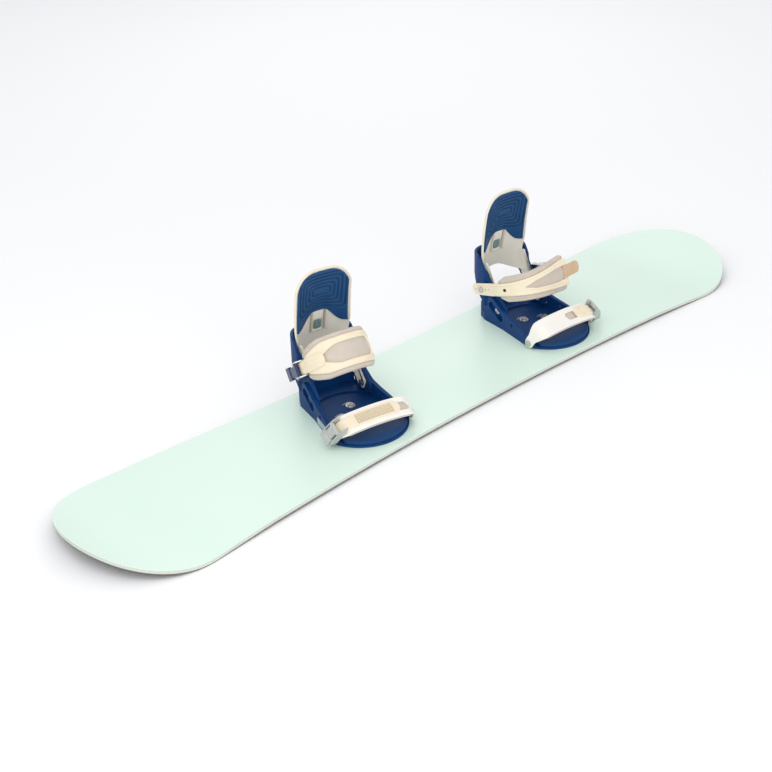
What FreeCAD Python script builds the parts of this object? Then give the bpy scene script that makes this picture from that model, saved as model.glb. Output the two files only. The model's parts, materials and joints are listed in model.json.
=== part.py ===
"""Snowboard with two strap bindings, in millimetres.

Frame: +X along the board towards its tail, +Y towards the heel side, +Z up, with the origin on
the ground under the middle of the board.  Each binding is drawn in a frame of its own: origin
on the board's top at the middle of the mounting disc, toes towards -Y, the outer side of the
foot towards -X.  The rear binding is the mirror image of the front one.
"""
import FreeCAD, Part
import math
import os
from FreeCAD import Vector

# ---------------------------------------------------------------- board
BOARD_LENGTH = 1500.0
WAIST_WIDTH = 248.0
SIDECUT_RADIUS = 6942.0
TIP_END_RADIUS = 175.0        # the arc that crosses the centre line at nose and tail
TIP_SHOULDER_RADIUS = 135.0   # the arc between the end arc and the sidecut
FLAT_HALF = 430.0             # half of the flat middle that the bindings stand on
CAMBER_RADIUS = 2860.0
CAMBER_SLOPE = 0.035          # radians, between the flat middle and the contact line
CAMBER_RUN = 60.0
TIP_LIFT_RADIUS = 360.0
BASE_SHEET = 1.3
CORE_THICKNESS = 5.7
TOPSHEET = 1.0
STEEL_EDGE_WIDTH = 2.2
SIDEWALL_WIDTH = 8.0
INSERT_RADIUS = 4.6
INSERT_FLOOR = 0.6            # core left under an insert
INSERT_BORE = 3.0
INSERT_PITCH = 25.0
INSERT_ROWS = 3

# ---------------------------------------------------------------- stance
FRONT_STANCE = (-192.0, -4.0, 12.0)   # x and y of the disc, degrees the toes turn to the nose
REAR_STANCE = (271.0, -5.0, 5.0)

# ---------------------------------------------------------------- baseplate
HEEL_Y, HEEL_HALF = 98.0, 50.0
HEEL_REAR_Y = 105.0
WAIST_Y, WAIST_HALF = 28.0, 60.5
RAIL_REAR_Y, RAIL_REAR_HALF = 80.0, 57.5
TOE_ARC_RADIUS, TOE_ARC_Y = 79.0, -28.0
TOE_SHOULDER_Y = -58.0
FLOOR_THICKNESS = 7.0
STEP_HEIGHT = 3.0             # the floor outside the disc's ring stands this much higher
STEP_RADIUS = 69.0
TOE_FLOOR_THICKNESS = 4.0
RAIL_THICKNESS = 5.0
HEEL_WALL_TOP = 30.0
RAIL_TOP = ((14.0, 32.0), (34.0, 38.0), (47.0, 47.0), (60.0, 55.0))
RAIL_FRONT_TOP = 18.0
RAIL_FRONT_Y = -45.0
SLOT_Y, SLOT_Z, SLOT_RUN, SLOT_HALF, SLOT_RISE = 47.0, 29.0, 30.0, 7.2, 32.0
SMALL_HOLE_Y, SMALL_HOLE_Z, SMALL_HOLE_RADIUS = -2.0, 20.0, 3.4
RAMP_REAR_Y, RAMP_PEAK_Y, RAMP_FRONT_Y = -56.0, -86.0, -103.0
RAMP_PEAK_Z, RAMP_FRONT_Z = 11.0, 6.5
RAMP_INSET = 3.0

# ---------------------------------------------------------------- mounting disc
DISC_RADIUS = 50.0
DISC_HUB_RADIUS = 44.0
DISC_STEP_Z = 4.0
DISC_CLEARANCE = 0.2
SCREW_PATTERN = 40.0          # distance between any two of the three disc screws
SCREW_RADIUS = 2.95
SCREW_HEAD_RADIUS = 5.2
SCREW_HEAD_HEIGHT = 3.0
SCREW_DEPTH = 5.0             # how far a screw reaches into the board
SOCKET_RADIUS, SOCKET_DEPTH = 2.4, 1.8
WASHER_RADIUS = 8.4
WASHER_THICKNESS = 1.6
SLOT_LENGTH = 12.0

# ---------------------------------------------------------------- heel hoop and bolts
HOOP_LOW_HALF = 53.0          # outside of the arms between the rails
HOOP_HALF = 57.5              # outside of the arms above the rails
HOOP_THICKNESS = 4.5
HOOP_FLARE_Y = (77.0, 83.0)
HOOP_BACK_Y = 133.0
HOOP_CORNER = 40.0
HOOP_FRONT_EDGE = ((26.0, 38.0), (46.0, 62.0), (70.0, 80.0), (78.0, 93.0), (92.0, 117.0))
HOOP_REAR_EDGE = ((116.0, 84.0), (106.0, 67.0), (93.0, 45.0), (77.0, 27.0), (70.0, 12.0))
HOOP_TOP, HOOP_BACK_LOW = 124.0, 88.0
PIVOT_Y, PIVOT_Z = 47.0, 29.0         # highback pivots and hoop bolts
ANKLE_Y, ANKLE_Z = 86.0, 62.0         # ankle strap bolts
TOE_Y, TOE_Z = -60.0, 11.0            # toe strap bolts
TOE_LUG_RADIUS = 9.0
BOLT_RADIUS = 3.0
BOLT_CLEARANCE = 0.05
BOLT_HEAD_RADIUS = 6.0
BOLT_HEAD_HEIGHT = 2.4
LAYER_GAP = 0.3               # between plates that turn on one bolt

# ---------------------------------------------------------------- highback
SHELL_BACK = ((60.0, 122.0), (120.0, 118.0), (160.0, 109.0), (200.0, 99.0), (250.0, 83.5))
SHELL_THICKNESS = 3.5
SHELL_LOW_RADIUS = 50.0       # radius of the shell's curve at SHELL_BASE_Z
SHELL_BASE_Z = 80.0
SHELL_FLARE = 0.47            # growth of that radius per mm of height
SHELL_BOTTOM_Z, SHELL_TOP_Z = 72.0, 241.0
SHELL_HALF, SHELL_CORNER = 52.5, 38.0
WING_GAP = 0.3
WING_THICKNESS = 3.4
WING_RADIUS = 11.0
PAD_THICKNESS = 4.5
PAD_INSET = 4.5
PAD_ARCH_Z, PAD_TIP_Z = 158.0, 128.0
LEAN_Z, LEAN_HALF, LEAN_HEIGHT = 116.0, 15.0, 26.0
CLIP_HALF, CLIP_HEIGHT, CLIP_THICKNESS = 7.0, 17.0, 3.0
CLIP_Z = 128.0
STUD_RADIUS = 2.5             # the clip's stud, which slides in the shell's slot
STUD_GAP = 0.3

# ---------------------------------------------------------------- straps
# A strap lies in a tilted plane through its two bolts.  In that plane x is across the foot and
# s runs from the bolts towards the crest; t is across the strap, down towards the toes.
ANKLE_TILT_FRONT, ANKLE_TILT_REAR = 38.0, 17.0
ANKLE_CREST = 103.0
FRAME_THICKNESS = 3.5
FAIR = 0.02                   # keeps an arc just short of its straight neighbours
SEAM = 34.0                   # where the strap flexes when it is opened
ARM_BACK, ARM_HALF = -23.0, 10.5
ARM_HOLES = (-15.0, 13.0, 23.0)
ARM_HOLE_RADIUS = 1.8
ANKLE_FRAME_HALF, ANKLE_FRAME_STOP = 27.0, 52.0
ANKLE_PAD_HALF, ANKLE_PAD_THICKNESS, ANKLE_PAD_END = 36.0, 7.0, 44.0
ANKLE_WINDOW_FRONT, ANKLE_WINDOW_REAR, ANKLE_WINDOW_HALF = (-50.0, 48.0), (26.0, -66.0), 15.5
TAPER_HALF = (12.0, 23.5)     # half widths of the undone frame, near its arm and far from it
UNDONE_BEND, UNDONE_END, UNDONE_TIP, UNDONE_DROP = -15.0, -72.0, -108.0, 17.0
LADDER_THICKNESS, LADDER_HALF = 3.0, 11.5
LADDER_END = 13.0
LADDER_TIP_ANGLE = 132.0
TOOTH_PITCH, TOOTH_DEPTH = 3.6, 1.2
TOE_TILT = 62.0
TOE_HALF = 74.0
TOE_CREST = 40.0
TOE_ANKLE = (6.0, 12.0)       # s and radius of the bend just above the toe strap's bolts
TOE_SHOULDER = (62.0, 30.0, 24.0)   # x, s and radius of the bend at its shoulders
TOE_FRAME_HALF, TOE_FRAME_THICKNESS, TOE_ARM_HALF = 18.5, 3.0, 9.5
TOE_PAD_THICKNESS, TOE_PAD_HALF, TOE_PAD_END = 4.0, 20.0, 18.0
TOE_WINDOW_LENGTH, TOE_WINDOW_HALF, TOE_TAB_OVERLAP = 27.0, 8.0, 6.0
TOE_LADDER_FRONT, TOE_TEETH_FRONT = 42.0, 19
TOE_LADDER_REAR, TOE_TEETH_REAR = -20.0, 3

# ---------------------------------------------------------------- ratchet buckles
BUCKLE_WALL = 2.0
BUCKLE_FLOOR = 1.6
BUCKLE_SIDE_GAP = 0.4
BUCKLE_PIN_RADIUS = 1.5
LEVER_PIN_S, LEVER_LENGTH, LEVER_THICKNESS, LEVER_HUB = 38.0, 34.0, 3.6, 3.8
PAWL_PIN_S, PAWL_HUB = 18.0, 1.9
BUCKLE_HEIGHT = 17.0
TOE_BUCKLE_HEIGHT, TOE_LEVER_LENGTH, TOE_LEVER_STAND = 16.8, 25.0, 8.0
TOE_LEVER_RUN, TOE_PAWL_RUN = 20.0, 3.0   # along the leaning side, from its lower bend
TOE_CHEEK_X = -63.0           # where the toe buckle's cheeks stop, over the strap's shoulder
BUCKLE_TOP = 46.0


# ================================================================ drawing helpers
def face_of(points, plane="xy", level=0.0):
    """A flat face from (a, b) or (a, b, radius) corners; plane names its two axes."""
    place = {"xy": lambda a, b: Vector(a, b, level), "xz": lambda a, b: Vector(a, level, b),
             "yz": lambda a, b: Vector(level, a, b)}[plane]
    ends, arcs = [], []
    count = len(points)
    for i, point in enumerate(points):
        corner = Vector(point[0], point[1], 0)
        before = Vector(*points[i - 1][:2], 0) - corner
        after = Vector(*points[(i + 1) % count][:2], 0) - corner
        before.normalize()
        after.normalize()
        radius = point[2] if len(point) > 2 else 0.0
        if radius <= 0.0:
            ends.append((corner, corner))
            arcs.append(None)
            continue
        half = before.getAngle(after) / 2.0
        run = radius / math.tan(half)
        bisector = before + after
        bisector.normalize()
        middle = corner + bisector * (radius / math.sin(half) - radius)
        ends.append((corner + before * run, corner + after * run))
        arcs.append(middle)
    edges = []
    for i in range(count):
        start, stop = ends[i]
        following = ends[(i + 1) % count][0]
        if arcs[i] is not None:
            edges.append(Part.Arc(*[place(p.x, p.y) for p in (start, arcs[i], stop)]).toShape())
        if (following - stop).Length > 1e-6:
            edges.append(Part.makeLine(place(stop.x, stop.y), place(following.x, following.y)))
    return Part.Face(Part.Wire(edges))


def prism(points, plane, low, high):
    """An outline pushed from low to high along the axis that its plane leaves out."""
    axis = {"xy": Vector(0, 0, 1), "xz": Vector(0, 1, 0), "yz": Vector(1, 0, 0)}[plane]
    return face_of(points, plane, low).extrude(axis * (high - low))


def block(x0, x1, y0, y1, z0, z1):
    return Part.makeBox(x1 - x0, y1 - y0, z1 - z0, Vector(x0, y0, z0))


def post(radius, x, y, z0, z1):
    return Part.makeCylinder(radius, z1 - z0, Vector(x, y, z0), Vector(0, 0, 1))


def cross_pin(radius, y, z, x0, x1):
    return Part.makeCylinder(radius, x1 - x0, Vector(x0, y, z), Vector(1, 0, 0))


def both_sides(shape):
    """The shape and its mirror image across the foot's middle."""
    return [shape, shape.mirror(Vector(0, 0, 0), Vector(1, 0, 0))]


def mirrored_outline(points):
    """Close a half outline, listed on the +a side, with its mirror image on the -a side."""
    other = [(-p[0],) + tuple(p[1:]) for p in reversed(points)]
    return list(points) + other


def offset_path(points, distance):
    """Move an open path sideways, to its left when it is walked from the first point."""
    moved = []
    for i, point in enumerate(points):
        here = Vector(point[0], point[1], 0)
        lines = []
        for a, b in ((i - 1, i), (i, i + 1)):
            if 0 <= a and b < len(points):
                run = Vector(*points[b][:2], 0) - Vector(*points[a][:2], 0)
                run.normalize()
                lines.append(Vector(-run.y, run.x, 0))
        if len(lines) == 1:
            place, radius = here + lines[0] * distance, 0.0
        else:
            total = lines[0] + lines[1]
            place = here + total * (distance / (1.0 + lines[0].dot(lines[1])))
            turn = lines[0].x * lines[1].y - lines[0].y * lines[1].x
            radius = (point[2] if len(point) > 2 else 0.0) - distance * math.copysign(1.0, turn)
        moved.append((place.x, place.y, max(radius, 0.0)))
    return moved


def band(path, inner, outer, low, high):
    """A strip of constant thickness that follows a path in the xy plane, from z low to high."""
    near, far = offset_path(path, inner), offset_path(path, outer)
    return prism(near + far[::-1], "xy", low, high)


def sector(centre, inner, outer, start, stop, low, high):
    """A ring sector about a centre; the angles are in degrees from +x."""
    def at(radius, angle):
        turn = math.radians(angle)
        return Vector(centre[0] + radius * math.cos(turn), centre[1] + radius * math.sin(turn), low)
    middle = (start + stop) / 2.0
    edges = [Part.Arc(at(outer, start), at(outer, middle), at(outer, stop)).toShape(),
             Part.makeLine(at(outer, stop), at(inner, stop)),
             Part.Arc(at(inner, stop), at(inner, middle), at(inner, start)).toShape(),
             Part.makeLine(at(inner, start), at(outer, start))]
    return Part.Face(Part.Wire(edges)).extrude(Vector(0, 0, high - low))


# ================================================================ board
def board_profile(height):
    """Edges of the board's long section at a height above its running surface, nose to tail."""
    x1 = FLAT_HALF
    x2 = x1 + CAMBER_RADIUS * math.sin(CAMBER_SLOPE)
    x3 = x2 + CAMBER_RUN
    low = x3 + TIP_LIFT_RADIUS * math.sin(CAMBER_SLOPE)
    drop_arc = CAMBER_RADIUS * (1 - math.cos(CAMBER_SLOPE))
    drop_run = CAMBER_RUN * math.tan(CAMBER_SLOPE)
    drop_low = TIP_LIFT_RADIUS * (1 - math.cos(CAMBER_SLOPE))
    middle = drop_arc + drop_run + drop_low
    lean = math.sin(CAMBER_SLOPE), math.cos(CAMBER_SLOPE)
    arc_low = Vector(x1, 0, middle - CAMBER_RADIUS)
    tip = Vector(low, 0, TIP_LIFT_RADIUS)
    reach = CAMBER_RADIUS + height
    inner = TIP_LIFT_RADIUS - height
    p1 = Vector(x1, 0, middle + height)
    p2 = arc_low + Vector(reach * lean[0], 0, reach * lean[1])
    half = CAMBER_SLOPE / 2
    p12 = arc_low + Vector(reach * math.sin(half), 0, reach * math.cos(half))
    p3 = tip + Vector(-inner * lean[0], 0, -inner * lean[1])
    end = math.asin((BOARD_LENGTH / 2 + 10 - low) / inner)
    p4 = tip + Vector(inner * math.sin(end), 0, -inner * math.cos(end))
    turn = (end - CAMBER_SLOPE) / 2
    p34 = tip + Vector(inner * math.sin(turn), 0, -inner * math.cos(turn))
    right = [(p1, p12, p2), (p2, p3), (p3, p34, p4)]
    left = [tuple(Vector(-p.x, 0, p.z) for p in reversed(run)) for run in reversed(right)]
    runs = left + [(left[-1][-1], p1)] + right
    return [Part.Arc(*run).toShape() if len(run) == 3 else Part.makeLine(*run) for run in runs]


def board_top():
    return board_profile(BASE_SHEET + CORE_THICKNESS + TOPSHEET)[3].Vertexes[0].Point.z


def board_outline(inset):
    """The plan of the board, moved in by inset, as a tall solid."""
    side = Vector(0, WAIST_WIDTH / 2 + SIDECUT_RADIUS, 0)
    tip = Vector(BOARD_LENGTH / 2 - TIP_END_RADIUS, 0, 0)
    near = TIP_END_RADIUS - TIP_SHOULDER_RADIUS
    far = SIDECUT_RADIUS + TIP_SHOULDER_RADIUS
    gap = (side - tip).Length
    along = (gap ** 2 + near ** 2 - far ** 2) / (2 * gap)
    across = math.sqrt(near ** 2 - along ** 2)
    way = (side - tip).normalize()
    shoulder = tip + way * along + Vector(way.y, -way.x, 0) * across
    to_side = (side - shoulder).normalize()
    to_tip = (shoulder - tip).normalize()
    join = shoulder + to_side * (TIP_SHOULDER_RADIUS - inset)
    crown = tip + to_tip * (TIP_END_RADIUS - inset)
    mid = (to_side + to_tip).normalize()
    bulge = shoulder + mid * (TIP_SHOULDER_RADIUS - inset)
    waist = Vector(0, WAIST_WIDTH / 2 - inset, 0)
    end = Vector(BOARD_LENGTH / 2 - inset, 0, 0)

    def flip(point, sx, sy):
        return Vector(point.x * sx, point.y * sy, 0)
    edges = []
    for sy in (1, -1):
        edges.append(Part.Arc(flip(join, -1, sy), flip(waist, 1, sy), flip(join, 1, sy)).toShape())
    for sx in (1, -1):
        edges.append(Part.Arc(flip(crown, sx, 1), flip(end, sx, 1), flip(crown, sx, -1)).toShape())
        for sy in (1, -1):
            arc = Part.Arc(flip(join, sx, sy), flip(bulge, sx, sy), flip(crown, sx, sy))
            edges.append(arc.toShape())
    wire = Part.Wire(Part.__sortEdges__(edges))
    solid = Part.Face(wire).extrude(Vector(0, 0, 200))
    solid.translate(Vector(0, 0, -50))
    return solid


def board_layer(low, high):
    """The board's long section between two heights, wider than the board."""
    lower, upper = board_profile(low), board_profile(high)
    ends = [Part.makeLine(lower[0].Vertexes[0].Point, upper[0].Vertexes[0].Point),
            Part.makeLine(lower[-1].Vertexes[-1].Point, upper[-1].Vertexes[-1].Point)]
    wire = Part.Wire(Part.__sortEdges__(lower + ends + upper))
    face = Part.Face(wire)
    face.translate(Vector(0, -200, 0))
    return face.extrude(Vector(0, 400, 0))


def screw_places():
    """The three disc screws about the disc's middle: an equilateral triangle, point outwards."""
    inradius = SCREW_PATTERN / math.sqrt(12.0)
    return [(inradius, SCREW_PATTERN / 2), (-2 * inradius, 0.0), (inradius, -SCREW_PATTERN / 2)]


def board():
    core_low, core_high = BASE_SHEET, BASE_SHEET + CORE_THICKNESS
    top = board_top()
    full = board_outline(0.0)
    inside = board_outline(STEEL_EDGE_WIDTH)
    core_plan = board_outline(SIDEWALL_WIDTH)
    base_layer = board_layer(0.0, core_low)
    core_layer = board_layer(core_low, core_high)
    inserts, holes, bores = [], [], []
    foot = top - TOPSHEET - CORE_THICKNESS + INSERT_FLOOR
    for stance, side in ((FRONT_STANCE, 1.0), (REAR_STANCE, -1.0)):
        for x, y in screw_places():
            for row in range(INSERT_ROWS):
                shift = (row - (INSERT_ROWS - 1) / 2) * INSERT_PITCH
                place = stance[0] + side * x + shift, stance[1] + y
                pot = post(INSERT_RADIUS, *place, foot, top - TOPSHEET)
                bore = post(INSERT_BORE, *place, top - SCREW_DEPTH - 0.5, top + 1)
                inserts.append(pot.cut(bore))
                holes.append(pot)
                bores.append(bore)
    holes, bores = Part.makeCompound(holes), Part.makeCompound(bores)
    return {
        "board_base": base_layer.common(inside),
        "steel_edge": base_layer.common(full.cut(inside)),
        "board_core": core_layer.common(core_plan).cut(holes),
        "board_sidewall": core_layer.common(full.cut(core_plan)),
        "board_topsheet": board_layer(core_high, core_high + TOPSHEET).common(full).cut(bores),
        "binding_inserts": Part.makeCompound(inserts),
    }


# ================================================================ baseplate
def plate_outline(inset):
    """Plan of the baseplate, moved in by inset."""
    reach = TOE_ARC_RADIUS - inset
    shoulder = math.sqrt(reach ** 2 - (TOE_SHOULDER_Y - TOE_ARC_Y) ** 2)
    front = Part.Arc(Vector(-shoulder, TOE_SHOULDER_Y, 0), Vector(0, TOE_ARC_Y - reach, 0),
                     Vector(shoulder, TOE_SHOULDER_Y, 0)).toShape()
    side = [(shoulder, TOE_SHOULDER_Y), (WAIST_HALF - inset, WAIST_Y),
            (RAIL_REAR_HALF - inset, RAIL_REAR_Y), (HEEL_HALF - inset * 0.7, HEEL_Y - inset * 0.7)]
    edges = [front]
    for sign in (1, -1):
        for a, b in zip(side, side[1:]):
            edges.append(Part.makeLine(Vector(sign * a[0], a[1], 0), Vector(sign * b[0], b[1], 0)))
    last = side[-1]
    edges.append(Part.Arc(Vector(-last[0], last[1], 0), Vector(0, HEEL_REAR_Y - inset, 0),
                          Vector(last[0], last[1], 0)).toShape())
    return Part.Face(Part.Wire(Part.__sortEdges__(edges)))


def hoop_room():
    """The space between the rails that the hoop's arms slide in, as a plan outline."""
    half = HOOP_LOW_HALF + LAYER_GAP
    toe = math.sqrt(TOE_ARC_RADIUS ** 2 - (TOE_SHOULDER_Y - TOE_ARC_Y) ** 2) - RAIL_THICKNESS
    return mirrored_outline([(toe, -200.0), (toe, TOE_SHOULDER_Y), (half, WAIST_Y, 40.0),
                             (half, RAIL_REAR_Y + 4, 6.0),
                             (HEEL_HALF - RAIL_THICKNESS, HEEL_Y - 3.0, 14.0)])


def baseplate():
    plan = plate_outline(0.0)
    floor = plan.extrude(Vector(0, 0, FLOOR_THICKNESS + STEP_HEIGHT))
    recess = post(STEP_RADIUS, 0, 0, FLOOR_THICKNESS, 60.0)
    recess = recess.fuse(block(-120, 120, TOE_SHOULDER_Y + RAMP_INSET, 0, FLOOR_THICKNESS, 60))
    toe_cut = block(-120, 120, -200, TOE_SHOULDER_Y + RAMP_INSET, TOE_FLOOR_THICKNESS, 60)
    floor = floor.cut(recess).cut(toe_cut)
    sides = plan.extrude(Vector(0, 0, 80)).cut(prism(hoop_room(), "xy", -1, 90))
    lug = TOE_LUG_RADIUS
    rear = RAIL_TOP[-1]
    profile = [(TOE_Y - lug, 0.0), (TOE_Y - lug, TOE_Z + lug, lug - 0.5),
               (RAIL_FRONT_Y, RAIL_FRONT_TOP, 20.0)]
    profile += [(y, z, 25.0) for y, z in RAIL_TOP[:-1]]
    profile += [(rear[0], rear[1], 5.0), (rear[0] + 8, rear[1] - 4, 4.0),
                (RAIL_REAR_Y - 6, HEEL_WALL_TOP, 5.0), (HEEL_REAR_Y + 5, HEEL_WALL_TOP),
                (HEEL_REAR_Y + 5, 0.0)]
    walls = sides.common(prism(profile, "yz", -100, 100))
    walls = walls.cut(band(hoop_path(), -HOOP_THICKNESS - LAYER_GAP, LAYER_GAP, HEEL_WALL_TOP / 2, 90))
    body = floor.fuse(walls).removeSplitter()
    slot = prism([(-SLOT_RUN / 2 - SLOT_HALF, -SLOT_HALF, SLOT_HALF - 0.1),
                  (SLOT_RUN / 2 + SLOT_HALF, -SLOT_HALF, SLOT_HALF - 0.1),
                  (SLOT_RUN / 2 + SLOT_HALF, SLOT_HALF, SLOT_HALF - 0.1),
                  (-SLOT_RUN / 2 - SLOT_HALF, SLOT_HALF, SLOT_HALF - 0.1)], "yz", -100, 100)
    slot.rotate(Vector(0, 0, 0), Vector(1, 0, 0), SLOT_RISE)
    slot.translate(Vector(0, SLOT_Y, SLOT_Z))
    body = body.cut(slot).cut(cross_pin(SMALL_HOLE_RADIUS, SMALL_HOLE_Y, SMALL_HOLE_Z, -100, 100))
    body = body.cut(cross_pin(BOLT_RADIUS + BOLT_CLEARANCE, TOE_Y, TOE_Z, -100, 100))
    body = body.cut(post(DISC_HUB_RADIUS + DISC_CLEARANCE, 0, 0, -1, 60))
    return body.cut(post(DISC_RADIUS + DISC_CLEARANCE, 0, 0, DISC_STEP_Z, 60))


def toe_ramp():
    plan = plate_outline(RAMP_INSET).extrude(Vector(0, 0, 40))
    profile = [(RAMP_REAR_Y, TOE_FLOOR_THICKNESS), (RAMP_REAR_Y, FLOOR_THICKNESS),
               (RAMP_PEAK_Y, RAMP_PEAK_Z, 30.0), (RAMP_FRONT_Y - 6, RAMP_FRONT_Z),
               (RAMP_FRONT_Y - 6, TOE_FLOOR_THICKNESS)]
    inner = mirrored_outline([(60.0, -200.0), (60.0, TOE_SHOULDER_Y + RAMP_INSET)])
    ramp = plan.common(prism(profile, "yz", -100, 100)).common(prism(inner, "xy", -1, 60))
    return ramp.cut(post(DISC_RADIUS + DISC_CLEARANCE, 0, 0, -1, 60))


def disc():
    body = post(DISC_HUB_RADIUS, 0, 0, 0, DISC_STEP_Z)
    body = body.fuse(post(DISC_RADIUS, 0, 0, DISC_STEP_Z, FLOOR_THICKNESS)).removeSplitter()
    half = (SLOT_LENGTH - 2 * SCREW_RADIUS) / 2
    wide = SCREW_RADIUS + BOLT_CLEARANCE + DISC_CLEARANCE
    for x, y in screw_places():
        slot = block(x - half, x + half, y - wide, y + wide, -1, 20)
        for end in (x - half, x + half):
            slot = slot.fuse(post(wide, end, y, -1, 20))
        body = body.cut(slot)
    return body


def disc_screws():
    seat = FLOOR_THICKNESS + WASHER_THICKNESS
    screws = []
    for x, y in screw_places():
        screw = post(SCREW_RADIUS, x, y, -SCREW_DEPTH, seat)
        head = post(SCREW_HEAD_RADIUS, x, y, seat, seat + SCREW_HEAD_HEIGHT)
        socket = post(SOCKET_RADIUS, x, y, seat + SCREW_HEAD_HEIGHT - SOCKET_DEPTH, seat + 10)
        screws.append(screw.fuse(head).cut(socket))
    return Part.makeCompound(screws)


def disc_washers():
    top = FLOOR_THICKNESS + WASHER_THICKNESS
    rings = [post(WASHER_RADIUS, x, y, FLOOR_THICKNESS, top).cut(
        post(SCREW_RADIUS + BOLT_CLEARANCE, x, y, 0, 20)) for x, y in screw_places()]
    return Part.makeCompound(rings)


# ================================================================ hoop and its bolts
def hoop_path():
    """Plan of the hoop's outer face, from the -x arm round the back to the +x arm."""
    half, low = HOOP_HALF, HOOP_LOW_HALF
    right = [(low, -20.0), (low, HOOP_FLARE_Y[0], 6.0), (half, HOOP_FLARE_Y[1], 6.0),
             (half, HOOP_BACK_Y, HOOP_CORNER)]
    return [(-p[0],) + p[1:] for p in right] + right[::-1]


def heel_hoop():
    ring = band(hoop_path(), -HOOP_THICKNESS, 0.0, 0, HOOP_TOP + 5)
    front = [(y, z, 12.0) for y, z in HOOP_FRONT_EDGE]
    rear = [(y, z, 14.0) for y, z in HOOP_REAR_EDGE[:-1]]
    profile = [(32.0, 14.0, 8.0), (24.0, 24.0, 6.0)] + front
    profile += [(102.0, HOOP_TOP, 6.0), (HOOP_BACK_Y + 5, HOOP_TOP), (HOOP_BACK_Y + 5, HOOP_BACK_LOW)]
    profile += rear + [(HOOP_REAR_EDGE[-1][0], HOOP_REAR_EDGE[-1][1], 6.0)]
    body = ring.common(prism(profile, "yz", -100, 100))
    hole = BOLT_RADIUS + BOLT_CLEARANCE
    body = body.cut(cross_pin(hole, PIVOT_Y, PIVOT_Z, -100, 100))
    return body.cut(cross_pin(hole, ANKLE_Y, ANKLE_Z, -100, 100))


def bolt(y, z, seat, reach):
    """A button-head bolt along x on the +x side; its head's underside is at seat."""
    shank = cross_pin(BOLT_RADIUS, y, z, reach, seat)
    head = cross_pin(BOLT_HEAD_RADIUS, y, z, seat, seat + BOLT_HEAD_HEIGHT)
    socket = cross_pin(SOCKET_RADIUS, y, z, seat + BOLT_HEAD_HEIGHT - SOCKET_DEPTH, seat + 10)
    return shank.fuse(head).cut(socket)


def hoop_bolts():
    """They clamp the hoop through the rails' slots and carry the highback's wings."""
    wing_in = HOOP_LOW_HALF - HOOP_THICKNESS - WING_GAP - WING_THICKNESS
    one = bolt(PIVOT_Y, PIVOT_Z, HOOP_LOW_HALF, wing_in)
    nut = cross_pin(BOLT_HEAD_RADIUS, PIVOT_Y, PIVOT_Z, wing_in - 2.3, wing_in - WING_GAP)
    nut = nut.fuse(cross_pin(BOLT_RADIUS, PIVOT_Y, PIVOT_Z, wing_in - 2.3, wing_in))
    return Part.makeCompound(both_sides(one.fuse(nut).removeSplitter()))


def strap_bolts():
    ankle = bolt(ANKLE_Y, ANKLE_Z, HOOP_HALF + LAYER_GAP * 2 + FRAME_THICKNESS,
                 HOOP_HALF - HOOP_THICKNESS)
    buckle = bolt(ANKLE_Y, ANKLE_Z, HOOP_HALF + LAYER_GAP * 2 + BUCKLE_FLOOR,
                  HOOP_HALF - HOOP_THICKNESS)
    rail = plate_half(TOE_Y)
    toe_arm = bolt(TOE_Y, TOE_Z, TOE_HALF + LAYER_GAP + TOE_FRAME_THICKNESS, rail - RAIL_THICKNESS - 1)
    toe_seat = TOE_HALF + 2 * LAYER_GAP + TOE_FRAME_THICKNESS + BUCKLE_FLOOR
    toe_buckle = bolt(TOE_Y, TOE_Z, toe_seat, rail - RAIL_THICKNESS - 1)
    return Part.makeCompound([ankle, both_sides(buckle)[1], toe_arm, both_sides(toe_buckle)[1]])


def plate_half(y):
    """Half of the baseplate's width at y, in front of its waist."""
    if y < TOE_SHOULDER_Y:
        return math.sqrt(TOE_ARC_RADIUS ** 2 - (y - TOE_ARC_Y) ** 2)
    toe = math.sqrt(TOE_ARC_RADIUS ** 2 - (TOE_SHOULDER_Y - TOE_ARC_Y) ** 2)
    return toe + (WAIST_HALF - toe) * (y - TOE_SHOULDER_Y) / (WAIST_Y - TOE_SHOULDER_Y)


# ================================================================ highback
def shell_radius(z):
    return SHELL_LOW_RADIUS + SHELL_FLARE * (z - SHELL_BASE_Z)


def shell_back(z):
    """y of the shell's back at z, along straight runs between the named heights."""
    for (z0, y0), (z1, y1) in zip(SHELL_BACK, SHELL_BACK[1:]):
        if z <= z1:
            break
    return y0 + (y1 - y0) * (z - z0) / (z1 - z0)


def crescent(z, near, far):
    """The wire of a curved slice at z, between two depths in front of the shell's back."""
    radius = shell_radius(z)
    centre = Vector(0, shell_back(z) - radius, z)
    ends = []
    for depth in (near, far):
        r = radius - depth
        spread = min(math.radians(82.0), math.asin(min(0.999, (SHELL_HALF + 4) / r)))
        ends.append([centre + Vector(r * math.sin(a), r * math.cos(a), 0)
                     for a in (-spread, 0.0, spread)])
    outer, inner = ends
    return Part.Wire([Part.Arc(*outer).toShape(), Part.makeLine(outer[2], inner[2]),
                      Part.Arc(*inner[::-1]).toShape(), Part.makeLine(inner[0], outer[0])])


def curved_slab(near, far):
    """The highback's curved layer between two depths, before it is cut to its outline."""
    return Part.makeLoft([crescent(z, near, far) for z, _ in SHELL_BACK], True, False)


def wing_x():
    """Outside of a highback wing."""
    return HOOP_LOW_HALF - HOOP_THICKNESS - WING_GAP


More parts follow.
